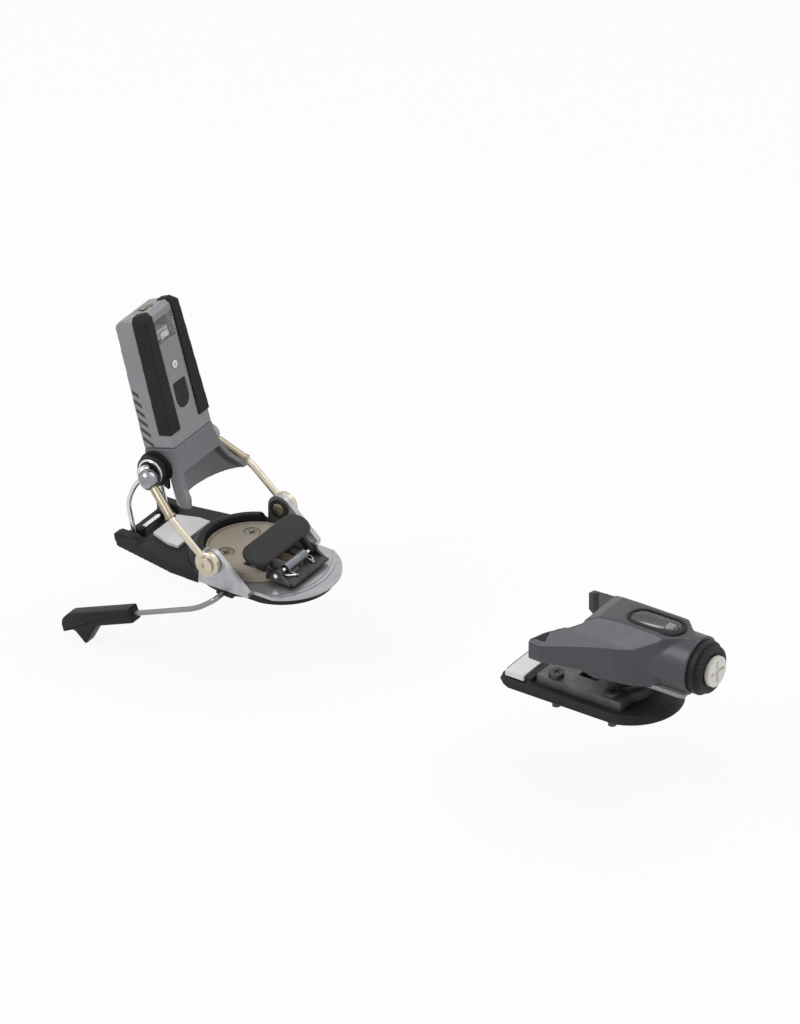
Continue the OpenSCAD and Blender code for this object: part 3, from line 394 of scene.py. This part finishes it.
ball_chrome = finish("ball_chrome", shade(150, 150, 154), 0.2, metallic=1.0, mottle=0.2, patch=220,
                     relief=0.03)
wire_steel = finish("wire_steel", shade(140, 140, 140), 0.3, metallic=0.9, mottle=0.08, relief=0.02)
PAINT = {"specular": 0.4, "coat": 0.12, "patch": 40, "grain": 3000}
tower_grey = finish("tower_grey", shade(138, 139, 142), 0.42, metallic=0.25, mottle=0.05, relief=0.12,
                    **PAINT)
jaw_grey = finish("jaw_grey", shade(112, 113, 117), 0.42, metallic=0.3, mottle=0.06, relief=0.12, **PAINT)
toe_grey = finish("toe_grey", shade(72, 71, 76), 0.42, metallic=0.3, mottle=0.07, relief=0.14, **PAINT)
slick_pad = finish("slick_pad", shade(226, 226, 224), 0.3, specular=0.45, mottle=0.03, relief=0.08)
bone_white = finish("bone_white", shade(236, 234, 226), 0.42, specular=0.35, mottle=0.03, relief=0.08)
bar_grey = finish("bar_grey", shade(62, 63, 66), 0.5, specular=0.3, mottle=0.08, patch=80, relief=0.1)
# The ledges' pale grey is painted highlight: the light that the toe barrel's lower bevel catches.
ledge_painted_highlight = finish("ledge_painted_highlight", shade(140, 140, 142), 0.38, metallic=0.3, mottle=0.06, relief=0.08)
spring_steel = finish("spring_steel", shade(124, 128, 132), 0.3, metallic=0.9, mottle=0.12, patch=200,
                      relief=0.1)
print(len(bpy.data.materials), "materials")

# %% [markdown]
# ## Clear windows
# The two spring-setting windows are clear plastic. Clear plastic is mostly transmission with a faint smoke
# tint and a glossy face; a little noise in its roughness stands for the fine scratches of a used cover.

# %% Clear plastic
def clear_plastic(name, tint):
    """Full transmission at index 1.46, tinted, with roughness 0.02 to 0.12 from a fine noise."""
    material = bpy.data.materials.new(name)
    material.use_nodes = True
    tree = material.node_tree
    shader = tree.nodes["Principled BSDF"]
    shader.inputs["Base Color"].default_value = tint
    shader.inputs["Transmission Weight"].default_value = 1.0
    shader.inputs["IOR"].default_value = 1.46
    place = tree.nodes.new("ShaderNodeTexCoord")
    noise = tree.nodes.new("ShaderNodeTexNoise")
    noise.inputs["Scale"].default_value = 900.0
    span = tree.nodes.new("ShaderNodeMapRange")
    span.inputs["To Min"].default_value = 0.02
    span.inputs["To Max"].default_value = 0.12
    tree.links.new(place.outputs["Object"], noise.inputs["Vector"])
    tree.links.new(noise.outputs["Fac"], span.inputs["Value"])
    tree.links.new(span.outputs["Result"], shader.inputs["Roughness"])
    return material


clear_cover = clear_plastic("clear_cover", (0.92, 0.94, 0.94, 1.0))
smoke_cover = clear_plastic("smoke_cover", (0.55, 0.56, 0.58, 1.0))
print("two window plastics")

# %% [markdown]
# ## Finishes for the CAD's solids
# Screws, springs, plates and pins are right as the CAD made them, so each only takes a finish. A solid that a
# later piece stands in for takes one too, so that no solid is bare.

# %% Assign finishes to the solids
PLAIN = {
    black_nylon: ["heel_base", "cam_plates", "slide_carriage", "toe_base", "wing_pads", "slot_plug",
                  "arm_carrier_left", "arm_carrier_right", "brake_foot_left", "brake_foot_right",
                  "tail_block", "toe_collar"],
    rail_rubber: ["tower_rail_left", "tower_rail_right"],
    pedal_nylon: ["brake_pedal"],
    tan_disc: ["centre_disc"],
    zinc_plate: ["turntable"],
    cast_steel: ["toe_chassis", "toe_post"],
    screw_steel: ["heel_screws", "heel_setting_screw"],
    dark_steel: ["brake_bracket", "ear_caps", "toe_screws", "heel_piston", "toe_piston"],
    warm_nickel: ["ear_bolts", "side_arm_left", "side_arm_right"],
    sleeve_bronze: ["arm_sleeve_left", "arm_sleeve_right"],
    chrome: ["rear_bail", "bail_roller", "heel_axle", "brake_hinge_pin", "face_screw",
             "pressure_screw_left", "pressure_screw_right"],
    wire_steel: ["brake_wire_left", "brake_wire_right"],
    tower_grey: ["tower_housing"],
    jaw_grey: ["heel_jaw"],
    toe_grey: ["toe_housing"],
    slick_pad: ["slide_pad", "tail_pad"],
    bone_white: ["heel_indicator", "toe_indicator", "toe_setting_screw"],
    spring_steel: ["heel_spring", "toe_spring", "brake_spring"],
    clear_cover: ["heel_window"],
    smoke_cover: ["toe_window"],
}
for material, nodes in PLAIN.items():
    for node in nodes:
        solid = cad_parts[node]
        solid.data.materials.clear()
        solid.data.materials.append(material)
left = set(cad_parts) - {node for nodes in PLAIN.values() for node in nodes}
print("solids without a finish:", sorted(left) or "none")

# %% [markdown]
# ## Moulded housings
# The tower, the jaw, the tail, the toe housing and its base are mouldings. They get softened copies.

# %% Soften the mouldings
softened("tower_housing", 0.7, 5, "tower", tower_grey)
softened("heel_jaw", 0.6, 6, "tower", jaw_grey)
softened("tower_rail_left", 0.5, 4, "tower", rail_rubber)
softened("tower_rail_right", 0.5, 4, "tower", rail_rubber)
softened("tail_block", 0.8, 4, "turntable", black_nylon)
softened("toe_housing", 0.8, 6, "toe", toe_grey)
softened("toe_base", 0.7, 4, "base", black_nylon)

# %% [markdown]
# ## The tower's slanting bars
# Each side of the tower carries six dark bars that slant forwards and down, a plain decoration. They are thin
# inlays: a rounded outline in the side's own plane, a tenth of a millimetre proud, with a rolled edge. The
# side narrows towards the top, so the plane's distance from the middle depends on the height.

# %% Side bars
SIDE_LOW, SIDE_HALF, SIDE_TAPER = 8, 21, 3.5 / 85
BAR_COUNT, BAR_STEP, BAR_LOW, BAR_REAR = 6, 6.26, 16.4, -16.6
BAR_THICK, BAR_SLANT = 2.5, 0.74


def on_side(side):
    """Outline (d, w) and lift h to a point on the tower's side: y = side (21 - 3.5 (w - 8) / 85 + h)."""
    def place(rows):
        d, w, h = rows[..., 0], rows[..., 1], rows[..., 2]
        return tower_place(np.stack([d, side * (SIDE_HALF - SIDE_TAPER * (w - SIDE_LOW) + h), w], axis=-1))
    return place


def side_bars(side):
    """Parallelograms, one step apart up the tower: bar k is 7.4 - 0.55 k long and drops by 0.74 of that."""
    step = np.arange(BAR_COUNT)
    bars = []
    for low, run in zip(BAR_LOW + BAR_STEP * step, 7.4 - 0.55 * step):
        front, drop = BAR_REAR + run, BAR_SLANT * run
        outline = round_outline([[BAR_REAR, low], [front, low - drop], [front, low - drop - BAR_THICK],
                                 [BAR_REAR, low - BAR_THICK]], 0.5, 4)
        bars.append(rolled_slab(outline, -0.3, 0.12, 0.1, on_side(side), steps=2))
    return bars


for side, word in SIDES:
    grid_piece(f"side_bars_{word}", side_bars(side), "tower", bar_grey)

# %% [markdown]
# ## The wires
# The bail, the brake wires and the rods of the arms are bent from round bar. A bend never has a sharp corner:
# the bar flows round it. So each path has its corners swapped for curves before the circle is carried along.

# %% Bail and brake wires
def mirrored(path):
    """The path with its y turned round, in the opposite order."""
    return (np.asarray(path, float) * [1, -1, 1])[::-1]


BAIL_R, BRAKE_R, BRAKE_Y = 1.6, 1.75, 50
BAIL_BENDS = [[-70.5, 9, 53.5], [-70.5, 18, 53.5], [-79, 18, 42], [-84, 18, 29], [-78.7, 18, 7]]
BRAKE_BENDS = np.array([[18.4, 5, 20], [3, 5, 2.5], [3, BRAKE_Y, 2.5], [-10, BRAKE_Y, -8],
                        [-78.2, BRAKE_Y, -35.96]])
bail_path = rounded_path(np.concatenate([BAIL_BENDS, mirrored(BAIL_BENDS)]), [2, 5, 7, 1.8, 1.8, 7, 5, 2])
grid_piece("bail_wire", [bar(bail_path, BAIL_R, 24, across=(1.0, 0.0, 0.1))], "bail", chrome,
           stands_for=["rear_bail"])

for side, word in SIDES:
    path = rounded_path(BRAKE_BENDS * [1, side, 1], [1.5, 4, 8])
    grid_piece(f"brake_bar_{word}", [bar(path, BRAKE_R, 24, across=(0.3, 0.0, -1.0))],
               f"brake_arm_{word}", wire_steel, stands_for=[f"brake_wire_{word}"])

# %% [markdown]
# ## The side arms
# Each arm is an eye, a rod that bends inwards and a sleeve that slides on the rod. The eye and the sleeve are
# turned parts, so they are spun from profiles that go out along the bore and back along the outside.

# %% Arms and sleeves
def tube_way(side):
    """Start of the upper rod at its bend, the unit direction to the tower's pivot, and the length between."""
    start = BEND * [1, side, 1]
    run = KNOB * [1, side, 1] - start
    return start, run / np.linalg.norm(run), np.linalg.norm(run)


EYE = [(-2.25, 3.55), (-2.25, 7.7), (-1.6, 8.5), (1.6, 8.5), (2.25, 7.7), (2.25, 3.55)]
SLEEVE = [(3.0, 2.2), (3.0, 3.2), (3.3, 3.55), (5.0, 3.55), (5.4, 3.1), (7.0, 2.95), (24.6, 3.0),
          (26.0, 2.6), (26.0, 2.2)]
ROD_R, ROD_INSET = 2.25, 4
for side, word in SIDES:
    start, run, length = tube_way(side)
    ear = EAR + [0, side * ROD_Y, 0]
    foot = ear + (start - ear) / np.linalg.norm(start - ear) * ROD_INSET
    rod = rounded_path([foot, start, start + run * (length - 1)], 5)
    grid_piece(f"arm_rod_{word}", [bar(rod, ROD_R, 24)], "arms", warm_nickel,
               stands_for=[f"side_arm_{word}"])
    grid_piece(f"arm_eye_{word}", [turned(EYE, ear, (0, 1, 0))], "arms", warm_nickel, ring=True)
    grid_piece(f"rod_sleeve_{word}", [turned(SLEEVE, start, run, 40)], "arms", sleeve_bronze,
               ring=True, stands_for=[f"arm_sleeve_{word}"])

# %% [markdown]
# ## The tower's pivots
# Each arm ends in a black drum on the tower's axle and a bright ball that the rod screws into. A domed screw
# with a sunk socket closes the ball, and a thin washer shows round the drum. The bolt that each arm hinges on
# shows its end inside the ear. All are turned from profiles.

# %% Drums, balls, screws, washers and bolt ends
DRUM = [(23.8, 4.3), (23.8, 9.6), (24.5, 10.4), (27.4, 10.5), (28.1, 9.9), (28.3, 9.0), (28.3, 4.3)]
BALL = [(-9.2, 0), (-9.2, 3.4), (-8.4, 4.6), (-7.0, 5.6), (-5.0, 6.3), (-3.0, 6.6), (-1.0, 6.4),
        (0.6, 5.9), (1.5, 5.4), (1.5, 0)]
SCREW = [(-0.3, 0), (-0.3, 2.5), (1.7, 2.5), (1.75, 4.5), (2.2, 5.1), (3.2, 5.3), (4.3, 5.0), (5.2, 4.3),
         (5.8, 3.4), (6.0, 2.7), (5.9, 2.4), (4.2, 2.2), (4.0, 0)]
WASHER = [(28.25, 7.2), (28.55, 7.3), (28.9, 7.6), (28.9, 8.6), (28.6, 8.9), (28.25, 9.0)]
BOLT_END = [(-37.05, 0), (-37.05, 4.6), (-36.2, 4.6), (-35.4, 3.6), (-35.0, 2.0), (-34.9, 0)]
for side, word in SIDES:
    start, run, length = tube_way(side)
    knob = start + run * length
    grid_piece(f"domed_screw_{word}", [turned(SCREW, knob, run, 48)],
               f"pressure_screw_{word}", chrome, stands_for=[f"pressure_screw_{word}"])
    grid_piece(f"arm_drum_{word}", [turned(DRUM, PIVOT, (0, side, 0), 72)], "arms",
               black_nylon, ring=True, stands_for=[f"arm_carrier_{word}"])
    grid_piece(f"arm_ball_{word}", [turned(BALL, knob, run, 56)], "arms", ball_chrome)
    grid_piece(f"drum_washer_{word}", [turned(WASHER, PIVOT, (0, side, 0), 56)], "arms", chrome,
               ring=True)
    grid_piece(f"bolt_end_{word}", [turned(BOLT_END, EAR, (0, -side, 0), 40)],
               "turntable", screw_steel)

# %% [markdown]
# ## The brake's pedal and feet
# The pedal is a moulded pill that lies across the ski with its rear edge raised. Its top is a little crowned
# so that the boot slides off it. The feet are moulded round the wires' ends, with a hook and a spike.

# %% Pedal
PEDAL_TILT = np.radians(20)
PEDAL_X, PEDAL_Z = 17, 27.5
PEDAL_R, PEDAL_REACH = 9.5, 21.5


def on_pedal(rows):
    """(along, across, h) to the ski: turned by 20 degrees about y, then moved to (17, 0, 27.5)."""
    a, y, h = rows[..., 0], rows[..., 1], rows[..., 2]
    x = PEDAL_X + a * np.cos(PEDAL_TILT) + h * np.sin(PEDAL_TILT)
    return np.stack([x, y, PEDAL_Z - a * np.sin(PEDAL_TILT) + h * np.cos(PEDAL_TILT)], axis=-1)


def upright(y):
    """(x, z) outline and h to the ski, with h measured from the plane at y."""
    return lambda rows: np.stack([rows[..., 0], y + rows[..., 2], rows[..., 1]], axis=-1)


t = np.linspace(0, 2 * np.pi, 72, endpoint=False)
pill = np.stack([PEDAL_R * np.cos(t), PEDAL_R * np.sin(t) + PEDAL_REACH * np.sign(np.sin(t))], axis=1)
pedal_grids = [rolled_slab(pill, -4.5, -0.6, 1.6, on_pedal, crown=0.6)]
lug = round_outline([[27.3, 13.0], [32.7, 13.0], [32.7, 16.0], [25.4, 23.4], [19.4, 23.8]], 1.6)
for y in (-18.5, 15.5):
    pedal_grids.append(rolled_slab(lug, 0, 3, 0.5, upright(y), steps=2))
grid_piece("pedal_pill", pedal_grids, "pedal", pedal_nylon, stands_for=["brake_pedal"])

# %% Brake feet
FOOT_TOE = np.array([-57.0, -27.27])
ALONG = np.array([-53.0, -21.73])
ALONG = ALONG / np.linalg.norm(ALONG)
ACROSS = np.array([ALONG[1], -ALONG[0]])
FOOT_CORNERS = [[0, -5], [0, 5], [50.3, 5], [55.8, 2], [57.8, -1], [58.3, -7], [49.3, -6.2], [43.8, -16.5],
                [30.3, -5]]
foot_outline = round_outline(FOOT_CORNERS, [1.6, 1.6, 2, 1.5, 1.5, 1.2, 2, 0.9, 2.5])
foot_flat = FOOT_TOE + foot_outline[:, :1] * ALONG + foot_outline[:, 1:] * ACROSS
for side, word in SIDES:
    grid_piece(f"snow_foot_{word}", [rolled_slab(foot_flat, -5, 5, 1.3, upright(side * BRAKE_Y))],
               f"brake_arm_{word}", black_nylon, stands_for=[f"brake_foot_{word}"])

# %% [markdown]
# ## The toe unit's small parts
# A stepped collar with shallow flutes closes the barrel. The window sits in a dark bezel, its cover slightly
# domed. A ledge runs along each lower edge of the barrel, coloured pale grey as a painted highlight on that
# bevel, and the base's flanks slope outwards.

# %% Collar
COLLAR = [(55.1, 9.3, 0), (55.1, 16.9, 0), (55.6, 17.5, 0), (59.2, 17.5, 0), (59.8, 17.0, 0), (60.0, 15.7, 0),
          (60.5, 15.4, 1), (63.2, 15.4, 1), (63.9, 14.9, 0), (64.0, 12.5, 0), (63.4, 11.6, 0), (63.4, 9.3, 0)]
collar = turned(COLLAR, (TOE_X, 0, BARREL_Z), (1, 0, 0), 144, flutes=24, flute_depth=0.5)
grid_piece("barrel_collar", [collar], "toe", black_nylon, ring=True,
           stands_for=["toe_collar"])

# %% Window bezel and cover
WINDOW_X, WINDOW_HALF, OVAL_COLUMNS = 22, 10, 96


def oval(reach):
    """Outline of the roof's window: two half circles of the given radius, 20 mm apart along the ski."""
    a = np.linspace(0, 2 * np.pi, OVAL_COLUMNS, endpoint=False)
    x = TOE_X + WINDOW_X + reach * np.cos(a) + WINDOW_HALF * np.sign(np.cos(a) + 1e-9)
    return np.stack([x, reach * np.sin(a)], axis=1)


def at_height(outline, z):
    """The flat outline as a row of points at the height z."""
    return np.concatenate([outline, np.full((len(outline), 1), z)], axis=1)


BEZEL = [(8.0, 60.2), (8.0, 62.0), (8.3, 62.5), (9.6, 62.45), (10.6, 62.0), (10.7, 61.4), (9.4, 60.2)]
bezel = np.stack([at_height(oval(r), z) for r, z in BEZEL])
grid_piece("window_bezel", [bezel], "toe", black_nylon, ring=True)
cover = rolled_slab(oval(7.95), 59.9, 61.9, 0.5, lambda rows: rows, crown=1.0)
grid_piece("window_cover", [cover], "toe", smoke_cover, stands_for=["toe_window"])

# %% Barrel ledges
LEDGE_Z, LEDGE_FALL, LEDGE_INNER = 28.6, 0.15, 12


def on_ledge(side):
    """(x, s, h) to the ski: s runs outwards from the barrel's middle, and the ledge drops 0.15 mm per mm."""
    def place(rows):
        x, s, h = rows[..., 0], rows[..., 1], rows[..., 2]
        return np.stack([TOE_X + x, side * s, LEDGE_Z - LEDGE_FALL * (s - LEDGE_INNER) + h], axis=-1)
    return place


ledge = round_outline([[14, 11], [54, 11], [54, 17.6], [50, 18.4], [14, 18.4]], [0.5, 0.5, 1.2, 2, 2])
# Each ledge is coloured pale grey as a painted highlight along the barrel's lower bevel.
for side, word in SIDES:
    grid_piece(f"barrel_ledge_{word}", [rolled_slab(ledge, -2.6, 0, 0.5, on_ledge(side))],
               "toe", ledge_painted_highlight)

# %% [markdown]
# ## The toe base's flanks
# The base is a moulding whose flanks slope outwards to the ski. A skirt follows the base's outline: each row
# is the outline moved out or in, at its own height, with one shallow groove halfway down.

# %% Base skirt
NOSE_X, NOSE_R, NOSE_ANGLE, NOSE_STEPS, FLANK_STEPS = 3, 32, 1.32, 40, 12


def base_outline(grow):
    """Straight sides 31 mm from the middle, cut rear corners and a nose of radius 32, moved out by grow."""
    a = np.linspace(-NOSE_ANGLE, NOSE_ANGLE, NOSE_STEPS)
    nose = np.stack([NOSE_X + (NOSE_R + grow) * np.cos(a), (NOSE_R + grow) * np.sin(a)], axis=1)
    half = np.array([[-67, 31 + grow], [-72, 28.5 + grow], [-75 - grow, 26]])
    rear = np.concatenate([half, half[::-1] * [1, -1]])
    left = np.linspace(nose[-1], half[0], FLANK_STEPS)[1:-1]
    right = np.linspace(half[0] * [1, -1], nose[0], FLANK_STEPS)[1:-1]
    return np.concatenate([nose, left, rear, right]) + [TOE_X, 0]


SKIRT = [(-4.0, 5.7), (-2.2, 6.15), (-0.6, 5.9), (0.4, 4.6), (0.2, 4.2), (0.5, 3.8), (1.7, 1.6),
         (1.9, 0.6), (1.5, 0.15), (-3.0, 0.15)]
skirt = np.stack([at_height(base_outline(grow), z) for grow, z in SKIRT])
grid_piece("base_skirt", [skirt], "base", black_nylon, ring=True)

# %% [markdown]
# ## The brake's small wires
# Under the pedal, two thin bright wires run from the spring to the bracket's front, and pull the arms in.

# %% Retraction wires
PULL_BENDS = np.array([[23.5, 13.6, 12.0], [27.5, 13.6, 11.7], [33.0, 14.4, 12.5], [38.5, 8.5, 12.2]])
PULL_R = 0.75
for side, word in SIDES:
    path = rounded_path(PULL_BENDS * [1, side, 1], 1.5, 6)
    grid_piece(f"retract_wire_{word}", [bar(path, PULL_R, 16, across=(0.2, 0.3, -1.0))],
               "base", chrome)

# %% [markdown]
# ## Floor
# The floor is one pale sheet just under the brake feet. The camera and the glossy surfaces see it mostly as
# even white, and the rest of its shading keeps the binding's shadow.

# %% Floor
WHITE_SHARE = 0.9
FLOOR_DROP, FLOOR_REACH = 0.0005, 6.0


def seen_directly(tree):
    """A socket that is 1 for camera, glossy and transmission rays, and 0 for rays that light the scene."""
    rays = tree.nodes.new("ShaderNodeLightPath")
    seen = rays.outputs["Is Camera Ray"]
    for ray in ["Is Glossy Ray", "Is Transmission Ray"]:
        either = tree.nodes.new("ShaderNodeMath")
        either.operation = "MAXIMUM"
        tree.links.new(seen, either.inputs[0])
        tree.links.new(rays.outputs[ray], either.inputs[1])
        seen = either.outputs["Value"]
    return seen


def floor_material():
    """A pale diffuse, with even white mixed in by WHITE_SHARE for camera, glossy and transmission rays."""
    material = bpy.data.materials.new("studio_floor")
    material.use_nodes = True
    tree = material.node_tree
    tree.nodes.clear()
    out = tree.nodes.new("ShaderNodeOutputMaterial")
    diffuse = tree.nodes.new("ShaderNodeBsdfDiffuse")
    diffuse.inputs["Color"].default_value = (0.9, 0.9, 0.9, 1.0)
    even = tree.nodes.new("ShaderNodeEmission")
    even.inputs["Color"].default_value = (1.0, 1.0, 1.0, 1.0)
    share = tree.nodes.new("ShaderNodeMath")
    share.operation = "MULTIPLY"
    share.inputs[1].default_value = WHITE_SHARE
    tree.links.new(seen_directly(tree), share.inputs[0])
    mix = tree.nodes.new("ShaderNodeMixShader")
    tree.links.new(share.outputs["Value"], mix.inputs["Fac"])
    tree.links.new(diffuse.outputs["BSDF"], mix.inputs[1])
    tree.links.new(even.outputs["Emission"], mix.inputs[2])
    tree.links.new(mix.outputs["Shader"], out.inputs["Surface"])
    return material


floor_z = cad_low[2] - FLOOR_DROP
corners = [(-FLOOR_REACH, -FLOOR_REACH), (FLOOR_REACH, -FLOOR_REACH), (FLOOR_REACH, FLOOR_REACH),
           (-FLOOR_REACH, FLOOR_REACH)]
sheet = bpy.data.meshes.new("floor")
sheet.from_pydata([(x, y, floor_z) for x, y in corners], [], [(0, 1, 2, 3)])
sheet.materials.append(floor_material())
floor = bpy.data.objects.new("floor", sheet)
bpy.context.collection.objects.link(floor)
print("floor at", round(floor_z, 4))

# %% [markdown]
# ## Light
# A white room lights everything softly. A large lamp above the rear right of the ski gives the faces their
# order, and a weaker one from the front left lifts the far sides. Camera, glossy and transmission rays see
# the room as plain white.

# %% World and lamps
scene = bpy.context.scene
scene.view_settings.view_transform = "Standard"
world = bpy.data.worlds.new("white_room")
scene.world = world
world.use_nodes = True
room = world.node_tree
room.nodes.clear()
room_out = room.nodes.new("ShaderNodeOutputWorld")
room_light = room.nodes.new("ShaderNodeBackground")
room_light.inputs["Color"].default_value = (1.0, 1.0, 1.0, 1.0)
room_light.inputs["Strength"].default_value = 0.5
room_seen = room.nodes.new("ShaderNodeBackground")
room_seen.inputs["Color"].default_value = (1.0, 1.0, 1.0, 1.0)
room_seen.inputs["Strength"].default_value = 1.0
room_mix = room.nodes.new("ShaderNodeMixShader")
room.links.new(seen_directly(room), room_mix.inputs["Fac"])
room.links.new(room_light.outputs["Background"], room_mix.inputs[1])
room.links.new(room_seen.outputs["Background"], room_mix.inputs[2])
room.links.new(room_mix.outputs["Shader"], room_out.inputs["Surface"])


MIDDLE = Vector((0.065, 0.0, 0.04))


def lamp(name, place, size, power):
    """A square lamp at a place in metres, turned to face the middle of the binding."""
    data = bpy.data.lights.new(name, "AREA")
    data.shape, data.size, data.energy = "SQUARE", size, power
    light = bpy.data.objects.new(name, data)
    light.location = place
    light.rotation_euler = (MIDDLE - Vector(place)).to_track_quat("-Z", "Y").to_euler()
    bpy.context.collection.objects.link(light)


lamp("key_lamp", (-1.0, -1.2, 1.7), 1.1, 20)
lamp("top_lamp", (0.6, 0.8, 1.8), 1.4, 10)
print("two lamps and a white room")

# %% [markdown]
# ## Camera
# The camera looks from the ski's right, a little ahead of square on and from 31 degrees above, through a long
# lens, so that the two units keep their true sizes beside each other.

# %% Camera
AZIMUTH, ELEVATION = np.radians(33.7), np.radians(31.1)
DISTANCE = 18.0
AIM = np.array([0.0654, 0.0652, 0.0298])
level = np.cos(ELEVATION)
towards = np.array([np.sin(AZIMUTH) * level, -np.cos(AZIMUTH) * level, np.sin(ELEVATION)])
camera_data = bpy.data.cameras.new("camera")
camera_data.lens = 1012.0
camera_data.sensor_width = 36.0
camera_data.clip_end = 60.0
camera = bpy.data.objects.new("camera", camera_data)
bpy.context.collection.objects.link(camera)
camera.location = AIM + towards * DISTANCE
camera.rotation_euler = Vector(-towards).to_track_quat("-Z", "Y").to_euler()
scene.camera = camera
print("camera at", [round(v, 3) for v in camera.location])
